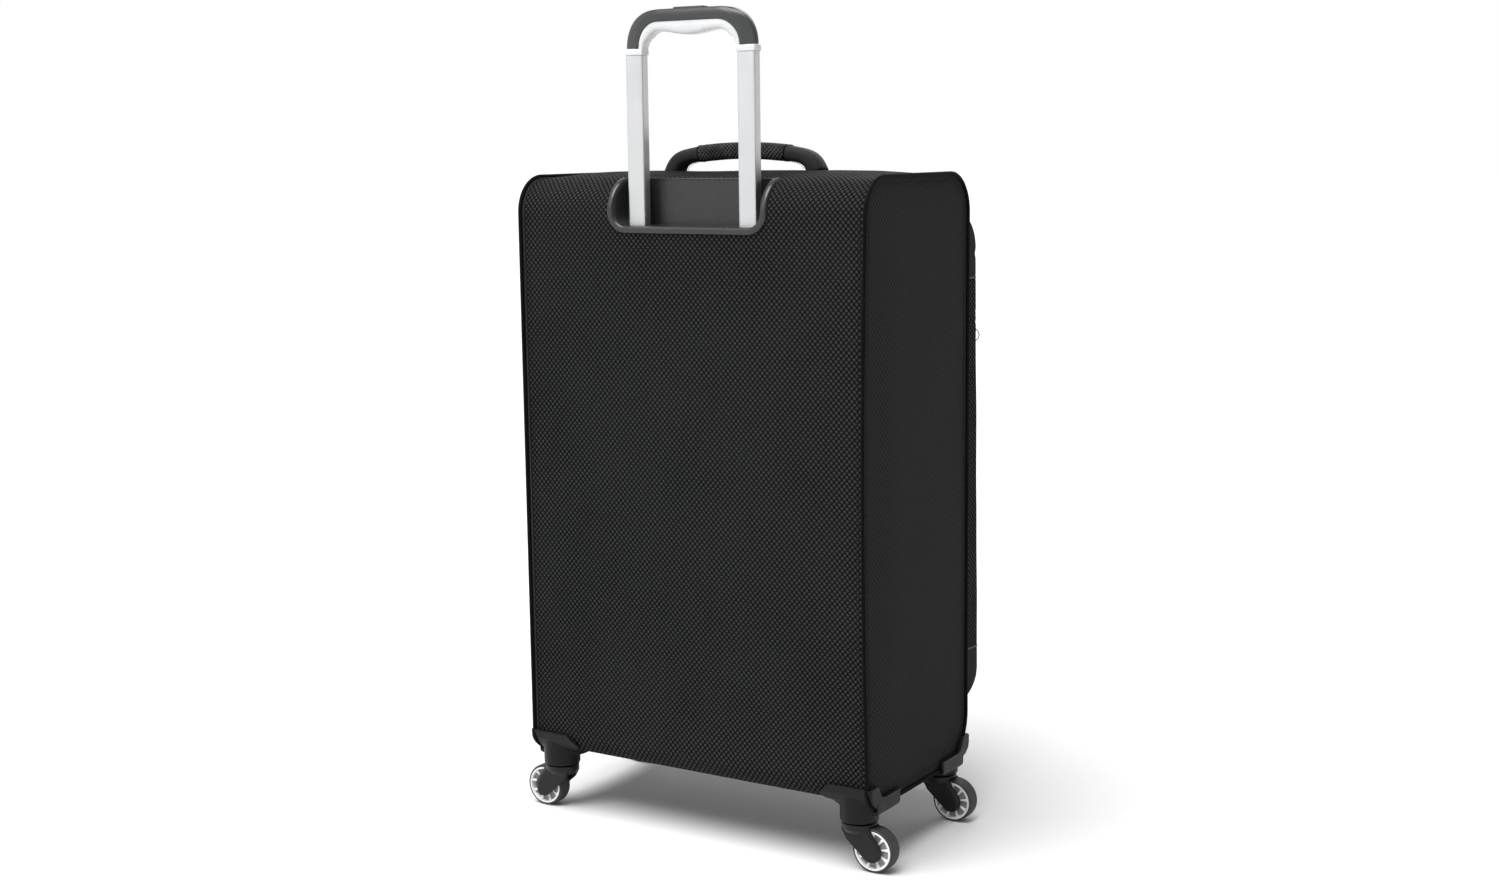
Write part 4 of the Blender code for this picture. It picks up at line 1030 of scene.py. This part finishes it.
def pocket_row(z, steps=30, corner=0.009):
    """One level of the pocket block, from the left base round the front to the right base."""
    base = POCKET_BASE + CASE_Y
    edge = pocket_point(POCKET_HALF, z).y
    depth = base - edge
    bend = min(corner, depth * 0.75)
    turn = [Vector((POCKET_HALF, base + (edge + bend - base) * k / 5, z)) for k in range(5)]
    for p in turn:       # the gusset is slightly slack
        p.x -= 0.0012 * math.sin(math.pi * (base - p.y) / max(depth, 1e-4))
    turn += [Vector((POCKET_HALF - bend * (1 - math.cos(math.radians(a))),
                     edge + bend - bend * math.sin(math.radians(a)), z)) for a in range(0, 90, 15)]
    half = POCKET_HALF - bend
    front = [pocket_point(half * math.cos(math.pi * k / steps), z) for k in range(steps + 1)]
    return turn + front + [Vector((-p.x, p.y, z)) for p in reversed(turn)]


def pocket_layout(rows):
    """Places on the pocket's cloth, measured along each row from its middle."""
    layout = []
    for row in rows:
        along = [0.0]
        for before, after in zip(row, row[1:]):
            along.append(along[-1] + (after - before).length)
        layout.append([(-(s - along[-1] / 2), row[0].z) for s in along])
    return layout


def make_pocket(name, low, high, zips, seam):
    """A pocket with its plain band beyond the seam, its zip, the seam's cord and its thread."""
    heights = [low + (high - low) * (1 - math.cos(math.pi * k / 40)) / 2 for k in range(41)]
    heights += [seam + d * 0.001 for d in (-3, -1.5, 0, 1.5, 3)]
    heights += [zips + d * 0.001 for d in (-7, -5, -3, -1, 1, 3, 5, 7)]
    heights = sorted({round(z, 5) for z in heights if low <= z <= high})
    rows = [pocket_row(z) for z in heights]
    for p in (p for row in rows for p in row):
        inner = smooth(low, low + 0.02, p.z) * smooth(high, high - 0.02, p.z)
        p.y += ripple(p, 0.075, 0.0012, 3.0) * inner * smooth(0.0, 0.03, pocket_reach(p.z))

    def band(i, _):
        z = (rows[i][0].z + rows[i + 1][0].z) / 2
        return int(z < seam if name == "lower" else z > seam)

    cloth = f"pocket_{name}_cloth"
    obj = piece(cloth, skin(cloth, rows, pocket_layout(rows), bands=band),
                [FABRIC, PLAIN_CLOTH, LINING], "lid", "shell_cloth", f"pocket_{name}")
    thicken(obj, 0.0016)
    settled(obj)
    half = POCKET_HALF - 0.0095
    across = [(-half + 2 * half * k / 40) for k in range(41)]
    for label, side, replaced in (("upper", 1, ["pocket_zip_" + name]), ("lower", -1, [])):
        tape, coil = f"pocket_zip_{name}_{label}_tape", f"pocket_zip_{name}_{label}_teeth"
        path = [pocket_point(x, zips + side * 0.0036, 0.0002) for x in across]
        piece(tape, strip(tape, path, pocket_normal, 0.0032, 0.0006), [ZIP_TAPE], "lid",
              "zip_tape", *replaced)
        path = [pocket_point(x, zips, 0.0004) for x in across]
        piece(coil, teeth(coil, path, pocket_normal, side), [ZIP_COIL], "lid", "zip_tape")
        path = [pocket_point(x, zips + side * 0.0088, 0.0002) for x in across]
        stitches(f"pocket_{name}_{label}_stitches", path, pocket_normal, "lid")
    seam_cord = f"pocket_{name}_seam_cord"
    piece(seam_cord, cord(seam_cord, pocket_row(seam), 0.0011, 8), [SEAM_CORD], "lid", "piping")
    for label, side in reversed(SIDES):
        path = [Vector((side * half, pocket_point(0.21, z, 0.0003).y, z))
                for z in heights if low + 0.02 < z < high - 0.012]
        stitches(f"pocket_{name}_{label}_edge_stitches", path, (0, -1, 0), "lid")


def make_pockets():
    make_pocket("lower", POCKET_LOW, POCKET_SPLIT, ZIP_LOWER, SEAM_LOWER)
    make_pocket("upper", POCKET_SPLIT, POCKET_HIGH, ZIP_UPPER, SEAM_UPPER)


# --- handles and webbing ------------------------------------------------------------------------
def oval(centre, run, thickness, width, power=0.62, sides=20):
    """A rounded-rectangle section across a path in the XZ plane."""
    run = Vector(run).normalized()
    up, side = Vector((-run.z, 0.0, run.x)), Vector((0.0, 1.0, 0.0))
    ring = []
    for k in range(sides):
        a = 2 * math.pi * (k + 0.5) / sides
        c, s = math.cos(a), math.sin(a)
        ring.append(Vector(centre) + up * math.copysign(abs(c) ** power, c) * thickness / 2
                    + side * math.copysign(abs(s) ** power, s) * width / 2)
    return ring


def bar_rows(foot_z, rise, half, fullness, steps=64):
    """A padded handle from foot to foot: (place, run, thickness, width) along a smooth path."""
    keys = [((half + 0.002, foot_z - 0.003), 0.0225, 0.0260),
            ((half - 0.001, foot_z + rise * 0.22), 0.0205, 0.0256),
            ((half - 0.0060, foot_z + rise * 0.52), 0.0190, 0.0250),
            ((half - 0.0150, foot_z + rise * 0.71), 0.0178, 0.0245),
            ((half - 0.0300, foot_z + rise * 0.83), 0.0172, 0.0238),
            ((half - 0.0450, foot_z + rise * 0.90), 0.0186, 0.0236),
            ((half - 0.0680, foot_z + rise * 0.97), 0.0186, 0.0234),
            ((half - 0.0900, foot_z + rise), 0.0184, 0.0234)]
    keys += [((-x, z), t, w) for (x, z), t, w in reversed(keys)]
    table = np.array([(x, z, t * fullness, w) for (x, z), t, w in keys])
    step = np.hypot(np.diff(table[:, 0]), np.diff(table[:, 1]))
    at = np.concatenate(([0.0], np.cumsum(step)))
    fine = np.linspace(0.0, at[-1], steps * 3)
    columns = [np.interp(fine, at, table[:, c]) for c in range(4)]
    kernel = np.hanning(15) / np.hanning(15).sum()
    smoothed = []
    for c in columns:       # straight lines between the keys, then rounded off
        padded = np.concatenate((2 * c[0] - c[7:0:-1], c, 2 * c[-1] - c[-2:-9:-1]))
        smoothed.append(np.convolve(padded, kernel, "valid"))
    return np.stack(smoothed, axis=1)[::3]


def make_handle(name, node, foot_z, rise, half, fullness, place, hump):
    """Sewn cloth ends and a mesh-wrapped, padded middle."""
    table = bar_rows(foot_z, rise, half, fullness)

    def run_at(k):
        before, after = table[max(0, k - 1)], table[min(len(table) - 1, k + 1)]
        return Vector((after[0] - before[0], 0.0, after[1] - before[1]))

    ends, middle = [], []
    for k, (x, z, thick, width) in enumerate(table):
        lump = 1 + hump * noise.noise(Vector((x * 60, 0.3, z * 60)))
        ends.append([place @ p for p in oval((x, 0.0, z), run_at(k), thick * lump, width * lump)])
    grip_half = half - 0.036
    for k, (x, z, thick, width) in enumerate(table):
        if abs(x) < grip_half:
            edge = smooth(grip_half, grip_half - 0.006, abs(x))
            thick = thick * (1.0 + 0.035 * edge) + 0.0006
            width = width * (1.0 + 0.02 * edge) + 0.0004
            middle.append([place @ p for p in oval((x, 0.0, z), run_at(k), thick, width)])
    obj = piece(name, skin(name, ends, loop=True, ends=True), [HANDLE_CLOTH], "root", "webbing",
                node)
    wrap = name + "_wrap"
    piece(wrap, skin(wrap, middle, loop=True, ends=True), [MESH_WRAP], "root", "webbing")
    for label, ring in (("first", middle[0]), ("last", middle[-1])):
        binding = f"{name}_{label}_binding"
        piece(binding, cord(binding, ring, 0.0007, 8, loop=True), [PIPING], "root", "webbing")
    # Thread down both edges of the folded ends.
    centre = place @ Vector((0, 0, foot_z))
    for side, sign in reversed(SIDES):
        for edge, level in (("back", 0.78), ("front", -0.78)):
            path = []
            for k in range(3, len(table) - 3):
                x, z, thick, width = table[k]
                if x * sign > grip_half + 0.002:
                    run = run_at(k).normalized()
                    up = Vector((-run.z, 0.0, run.x)) * (thick / 2 * 0.995)
                    path.append(place @ (Vector((x, level * width / 2, z)) + up))
            stitches(f"{name}_{side}_{edge}_stitches", path, lambda p: p - centre, "root",
                     "webbing", pitch=0.0034, length=0.0024, radius=0.00036)


def make_handles():
    top = Matrix.Translation((0.0, CASE_Y - 0.0075, 0.0))
    make_handle("top_handle", "carry_handle", 0.7795, 0.0252, 0.098, 1.0, top, 0.012)
    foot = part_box("side_handle")[0].x
    turn = Matrix.Translation((foot, CASE_Y, 0.425)) @ Matrix.Rotation(math.pi / 2, 4, "Y")
    make_handle("edge_handle", "side_handle", 0.0, 0.0185, 0.098, 0.45, turn, 0.010)


# --- trolley grip and cup -----------------------------------------------------------------------
def grip_path(foot, steps=16):
    """The seam between the grip's two mouldings: (x, z, angle of its outward side)."""
    right = []
    if foot < SEAM_Z:
        right = [(SEAM_X + SEAM_BEND, foot + (SEAM_Z - foot) * k / 3, 0.0) for k in range(3)]
    for k in range(steps + 1):
        angle = 90 * k / steps
        a = math.radians(angle)
        right.append((SEAM_X + SEAM_BEND * math.cos(a), SEAM_Z + SEAM_BEND * math.sin(a), angle))
    right += [(SEAM_X * k / 9, SEAM_Z + SEAM_BEND, 90.0) for k in range(8, -1, -1)]
    return right + [(-x, z, 180 - a) for x, z, a in reversed(right[:-1])]


def grip_rows(foot, outward, section):
    """Rows along the seam; section gives (out, y) pairs at a place."""
    rows = []
    for x, z, angle in grip_path(foot):
        a = math.radians(angle)
        out = Vector((math.cos(a), 0.0, math.sin(a))) * outward
        seam = Vector((x, TUBE_Y, z)) + out * 0.00015
        rows.append([seam + out * r + Vector((0.0, y, 0.0)) for r, y in section(x, math.sin(a))])
    return rows


def cover_section(_, rise):
    """The dark cover: a wide chamfer on the legs that narrows towards the top."""
    level = rise ** 2
    depth = 0.0193 - 0.0058 * rise ** 4
    half = 0.0075 + 0.0035 * level
    run, drop = 0.0150 - 0.0105 * level, 0.0042 - 0.0006 * level
    start = depth - run
    back = [(0.0, half - 0.0007), (0.0007, half), (start * 0.6, half), (start - 0.0004, half),
            (start + 0.0005, half - 0.00025), (start + run * 0.45, half - drop * 0.40),
            (start + run * 0.80, half - drop * 0.78), (depth - 0.0009, half - drop),
            (depth - 0.0002, half - drop - 0.0008), (depth, half - drop - 0.0018)]
    return back + [(r, -y) for r, y in reversed(back)]


def inlay_section(x, rise):
    """The silver underside, swelling into a belly for the fingers."""
    level = min(1.0, 1.6 * rise)
    belly = smooth(0.044, 0.0, abs(x))
    depth = 0.0047 + 0.0057 * level + 0.0050 * belly * rise ** 2
    half = 0.0072 + 0.0030 * rise ** 2
    soft = 0.0020 + 0.0026 * level
    back = [(0.0, half - 0.0006), (0.0006, half)]
    back += [(depth - soft + soft * math.sin(math.radians(t)),
              half - soft + soft * math.cos(math.radians(t))) for t in range(0, 91, 15)]
    return back + [(r, -y) for r, y in reversed(back)]


def sharp(obj, degrees):
    """Hard edges stay crisp in the smooth shading."""
    edges = obj.modifiers.new("crisp", "EDGE_SPLIT")
    edges.split_angle = math.radians(degrees)
    return settled(obj)


def make_grip():
    """The cover with its button, the silver underside and the collars on the tubes."""
    mesh = skin("grip_cover", grip_rows(0.9213, 1.0, cover_section), loop=True, ends=True)
    obj = piece("grip_cover", mesh, [GRIP_DARK], "trolley", "grip_dark", "grip_shell")
    cut(obj, block("button_pit", (-0.0208, TUBE_Y - 0.0073, 0.9545),
                   (0.0208, TUBE_Y + 0.0073, 0.985), 0.0012, 3))
    sharp(obj, 30)
    mesh = skin("grip_inlay", grip_rows(0.9180, -1.0, inlay_section), loop=True, ends=True)
    piece("grip_inlay", mesh, [GRIP_SILVER], "trolley", "grip_silver", "grip_core")
    for name, side in SIDES:
        mesh = block("grip_collar_" + name, (side * TUBE_X - 0.0121, TUBE_Y - 0.0074, 0.9135),
                     (side * TUBE_X + 0.0121, TUBE_Y + 0.0074, 0.9209), 0.0012, 4)
        mesh.shade_smooth()
        piece("grip_collar_" + name, mesh, [GRIP_SILVER], "trolley", "grip_silver")
    mesh = block("grip_button", (-0.0203, TUBE_Y - 0.0069, 0.9576),
                 (0.0203, TUBE_Y + 0.0069, 0.9653), 0.0016, 5)
    mesh.shade_smooth()
    piece("grip_button", mesh, [GRIP_DARK], "grip_button", "grip_dark", "push_button")


def cup_surface(x, z, out):
    """A point on the back of the case, over its top bend, out from the cloth."""
    radius = EDGE_RADII[1] - CLOTH_INSET
    centre_y, centre_z = HALF_DEPTH - EDGE_RADII[1], CASE_TOP - EDGE_RADII[1]
    if z <= centre_z:
        return Vector((x, HALF_DEPTH - CLOTH_INSET + out + CASE_Y, z))
    a = min(math.radians(86), (z - centre_z) / radius)
    return Vector((x, centre_y + (radius + out) * math.cos(a) + CASE_Y,
                   centre_z + (radius + out) * math.sin(a)))


def make_cup():
    """The recess that the tubes come out of: a rolled rim, smooth walls and a flat floor."""
    length = CASE_TOP - EDGE_RADII[1] + (EDGE_RADII[1] - CLOTH_INSET) * math.radians(84)
    outline = cup_outline(-0.0036, length, 12)
    # across the rim, from outside in: a soft lip, a flat band, a bevel into the recess
    profile = ((0.0052, -0.0006), (0.0050, 0.0010), (0.0040, 0.0022), (0.0026, 0.0026),
               (-0.0012, 0.0026), (-0.0022, 0.0020), (-0.0030, 0.0006), (-0.0032, -0.0020))
    rows = []
    for i, (x, z) in enumerate(outline):
        before, after = outline[max(0, i - 1)], outline[min(len(outline) - 1, i + 1)]
        run = Vector((after[0] - before[0], after[1] - before[1])).normalized()
        away = Vector((run.y, -run.x))
        row = [cup_surface(x + away.x * a, z + away.y * a, b) for a, b in profile]
        inner = cup_surface(x - away.x * 0.0034, z - away.y * 0.0034, -0.003)
        row += [Vector((inner.x, inner.y + (CUP_LOW.y - inner.y) * k / 4, inner.z))
                for k in range(5)]
        rows.append(row)
    obj = piece("cup_rim", skin("cup_rim", rows), [CUP_DARK], "root", "grip_dark", "trolley_cup")
    thicken(obj, 0.0008)
    cut(obj, *[block("tube_hole", (side * TUBE_X - 0.0122, TUBE_Y - 0.0075, 0.70),
                     (side * TUBE_X + 0.0122, TUBE_Y + 0.0075, 0.73), 0.0020, 2)
               for _, side in SIDES])
    sharp(obj, 40)
    make_cup_wall([row[-1] for row in rows])


def make_cup_wall(back):
    """The wall towards the case, with a rolled top edge that follows the crowned top."""
    across = [back[-1].x + (back[0].x - back[-1].x) * k / 24 for k in range(25)]
    share = 1 - ((back[0].y - CASE_Y) / CROWN_REACH) ** 2
    crest = [Vector((x, back[0].y, CASE_TOP - CLOTH_INSET - 0.0010 + TOP_CROWN * share
                     * (1 - (x / HALF_WIDTH) ** CROWN_SHAPE))) for x in across]
    build = bmesh.new()
    build.faces.new([build.verts.new(p) for p in back + crest])
    build.normal_update()
    bmesh.ops.triangulate(build, faces=build.faces, ngon_method="EAR_CLIP")
    obj = piece("cup_wall", meshed("cup_wall", build), [CUP_DARK], "root", "grip_dark")
    thicken(obj, 0.0016, 0.0)
    settled(obj)
    piece("cup_wall_edge", cord("cup_wall_edge", crest, 0.0014, 10), [CUP_DARK], "root",
          "grip_dark")


# --- corner guards, forks and wheels ------------------------------------------------------------
def remade(obj, voxel, relax):
    """One smooth skin over joined shapes, as a moulding has."""
    again = obj.modifiers.new("again", "REMESH")
    again.mode = "VOXEL"
    again.voxel_size = voxel
    again.use_smooth_shade = True
    soft = obj.modifiers.new("soft", "SMOOTH")
    soft.factor = 0.5
    soft.iterations = relax
    settled(obj)
    obj.data.shade_smooth()


def joined(mesh, *others):
    """The meshes as one, shapes overlapping."""
    build = bmesh.new()
    for part in (mesh, *others):
        build.from_mesh(part)
    build.to_mesh(mesh)
    build.free()
    for part in others:
        bpy.data.meshes.remove(part)
    return mesh


def flared(name, rings, sides=40):
    """A turned solid that need not be round: (x, y, z, radius across x, radius across y)."""
    rows = [[Vector((x + rx * math.cos(a), y + ry * math.sin(a), z)) for a in turns(sides)]
            for x, y, z, rx, ry in rings]
    return skin(name, rows, loop=True, ends=True)


def neck_top(y):
    """Where the housing meets the underside of the case, at a depth in the case frame."""
    bend = EDGE_RADII[0] if y > 0 else EDGE_RADII[3]
    over = min(bend * 0.999, max(0.0, abs(y) - (HALF_DEPTH - bend)))
    return min(0.0885, CASE_BOTTOM + bend - math.sqrt(bend ** 2 - over ** 2) - 0.0012)


def make_guard(corner, side_x, side_y):
    """The guard: its wings and belly run without a step into the caster's housing."""
    node = "corner_guard_" + corner
    x, y = PIVOTS[corner]
    mesh = NODES[node].data.copy()
    mesh.name = "guard_" + corner
    mesh.materials.clear()
    rows = []
    for z, radius in ((0.0570, 0.0220), (0.0580, 0.0223), (0.0640, 0.0223), (None, 0.0226)):
        ring = []
        for a in turns(48):
            across = y + radius * math.sin(a)
            ring.append((x + radius * math.cos(a), across, z or neck_top(across - CASE_Y)))
        rows.append(ring)
    neck = skin("neck", rows, loop=True, ends=True)

    def skirt(name, x_span, y_span, z_span):
        xs = sorted(side_x * v for v in x_span)
        ys = sorted(side_y * v + CASE_Y for v in y_span)
        return block(name, (xs[0], ys[0], z_span[0]), (xs[1], ys[1], z_span[1]), 0.0018, 3)

    lower = skirt("skirt_low", (0.2230, 0.2386), (0.0545, 0.1085), (0.0668, 0.0716))
    outer = skirt("skirt_out", (0.2366, 0.2391), (0.0540, 0.1085), (0.0688, 0.0838))
    obj = piece("guard_" + corner, joined(mesh, neck, lower, outer), [BLACK], "root",
                "moulded_black", node)
    remade(obj, 0.0008, 4)
    cut(obj, flared("stem_room", [(x, y, z, 0.0050, 0.0050) for z in (0.050, 0.0715)], 20))


def make_fork(corner, side_x):
    """The fork: a round cap, and two legs whose rear edge has a broad bevel."""
    x, y = PIVOTS[corner]

    def leg(name, side):
        """One leg: the outer face is cut back along its rear edge by a broad bevel."""
        outline = [(0.0150, 0.0540), (-0.0140, 0.0540), (-0.0160, 0.0505), (-0.0155, 0.0455),
                   (-0.0100, 0.0360)]
        outline += [(TRAIL + BOSS * math.cos(math.radians(a)),
                     AXLE_Z + BOSS * math.sin(math.radians(a))) for a in range(215, 376, 10)]
        outline += [(0.0290, 0.0370), (0.0225, 0.0450), (0.0200, 0.0500)]
        rows = []
        for reach, cut_back in ((0.0104, 0.0), (0.0112, 0.0), (0.0137, 0.0055)):
            row = []
            for p, q in outline:
                lean = max(0.0, p - (TRAIL - 0.55 * (q - AXLE_Z))) / BOSS
                row.append((x + side_x * (p - cut_back * min(1.0, lean)), y + side * reach, q))
            rows.append(row)
        return skin(name, rows, loop=True, ends=True)

    cap = flared("cap", [(x, y, 0.0440, 0.0180, 0.0170), (x, y, 0.0490, 0.0204, 0.0204),
                         (x, y, 0.0545, 0.0208, 0.0208), (x, y, 0.0553, 0.0204, 0.0204)])
    obj = piece("fork_" + corner, joined(cap, leg("leg_back", 1), leg("leg_front", -1)),
                [FORK_BLACK], f"caster_{corner}_swivel", "moulded_black", f"caster_{corner}_fork")
    remade(obj, 0.0006, 1)
    axle_x = x + side_x * TRAIL
    room = [[(axle_x + 0.0268 * math.cos(a), y + along, AXLE_Z + 0.0268 * math.sin(a))
             for a in turns(48)] for along in (-0.0104, 0.0104)]
    cut(obj, skin("wheel_room", room, loop=True, ends=True))
    sharp(obj, 40)
    stem = flared("king_pin", [(x, y, z, 0.0044, 0.0044) for z in (0.0540, 0.0712)], 24)
    piece("king_pin_" + corner, stem, [STEEL], f"caster_{corner}_swivel", "steel")


def wheel_ring(radius, along, centre):
    """A ring round the axle, at a distance along it."""
    return [Vector((centre.x + radius * math.cos(a), centre.y + along,
                    centre.z + radius * math.sin(a))) for a in turns(72)]


def make_wheel(corner):
    """A tyre with a rounded tread, and a bright hub: ring, spokes and recessed pockets, whose floors carry painted
    shade in a darker copy of the rim's colour.
    """
    name = "caster_" + corner
    low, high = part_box(name + "_tyre")
    centre, half = (low + high) / 2, (high.y - low.y) / 2
    radius = (high.z - low.z) / 2
    body = name + "_wheel"
    section = [(0.0227, half - 0.0008), (0.0231, half - 0.0002), (0.0236, half)]
    section += [(radius - 0.0017 + 0.0017 * math.sin(math.radians(t)),
                 half - 0.0030 + 0.0030 * math.cos(math.radians(t))) for t in range(0, 91, 15)]
    section += [(r, -s) for r, s in reversed(section)]
    rows = [wheel_ring(r, s, centre) for r, s in section]
    piece("tread_" + corner, skin("tread", rows, loop=True), [TYRE], body, "tyre", name + "_tyre")

    face = half - 0.0001
    profile = [(0.0034, face), (0.0070, face), (0.0078, face - 0.0010), (0.0080, 0.0060),
               (0.0196, 0.0062), (0.0202, face - 0.0006), (0.0206, face), (0.0225, face),
               (0.0229, face - 0.0006)]
    profile += [(r, -s) for r, s in reversed(profile)]
    # Strips 3 and 13 are the recessed pocket floors; their darker copy of the rim colour is painted shade.
    rim = skin("rim", [wheel_ring(r, s, centre) for r, s in profile], loop=True,
               bands=lambda i, j: 1 if i in (3, 13) else 0)
    obj = piece("rim_" + corner, rim, [RIM, RIM_POCKET_PAINTED_SHADE], body, "wheel_rim", name + "_hub")
    sharp(obj, 35)
    spokes = []
    for k in range(9):
        a = 2 * math.pi * (k + 0.25) / 9
        out = Vector((math.cos(a), 0.0, math.sin(a)))
        side = Vector((-math.sin(a), 0.0, math.cos(a)))
        for way in (1, -1):
            rows = []
            for r, wide, tall in ((0.0070, 0.0013, 0.0), (0.0120, 0.0012, 0.0014),
                                  (0.0165, 0.0017, 0.0012), (0.0208, 0.0030, 0.0)):
                foot, crest = 0.0056 * way, (face - 0.0003 - tall) * way
                base = centre + out * r
                rows.append([base + side * w + Vector((0.0, s, 0.0))
                             for w, s in ((wide, foot), (wide * 0.8, crest - 0.0006 * way),
                                          (wide * 0.4, crest), (-wide * 0.4, crest),
                                          (-wide * 0.8, crest - 0.0006 * way), (-wide, foot))])
            spokes.append(skin("spoke", rows, loop=True, ends=True))
    piece("spokes_" + corner, joined(*spokes), [RIM], body, "wheel_rim")


def make_running_gear():
    for end, side_y in (("back", 1), ("front", -1)):
        for side, side_x in (("right", -1), ("left", 1)):
            corner = f"{end}_{side}"
            make_guard(corner, side_x, side_y)
            make_fork(corner, side_x)
            make_wheel(corner)


dress_frame()
make_camera()
make_studio()
make_wrap()
make_sides()
make_lining()
make_strap()
make_lid()
make_pockets()
make_handles()
make_grip()
make_cup()
make_running_gear()
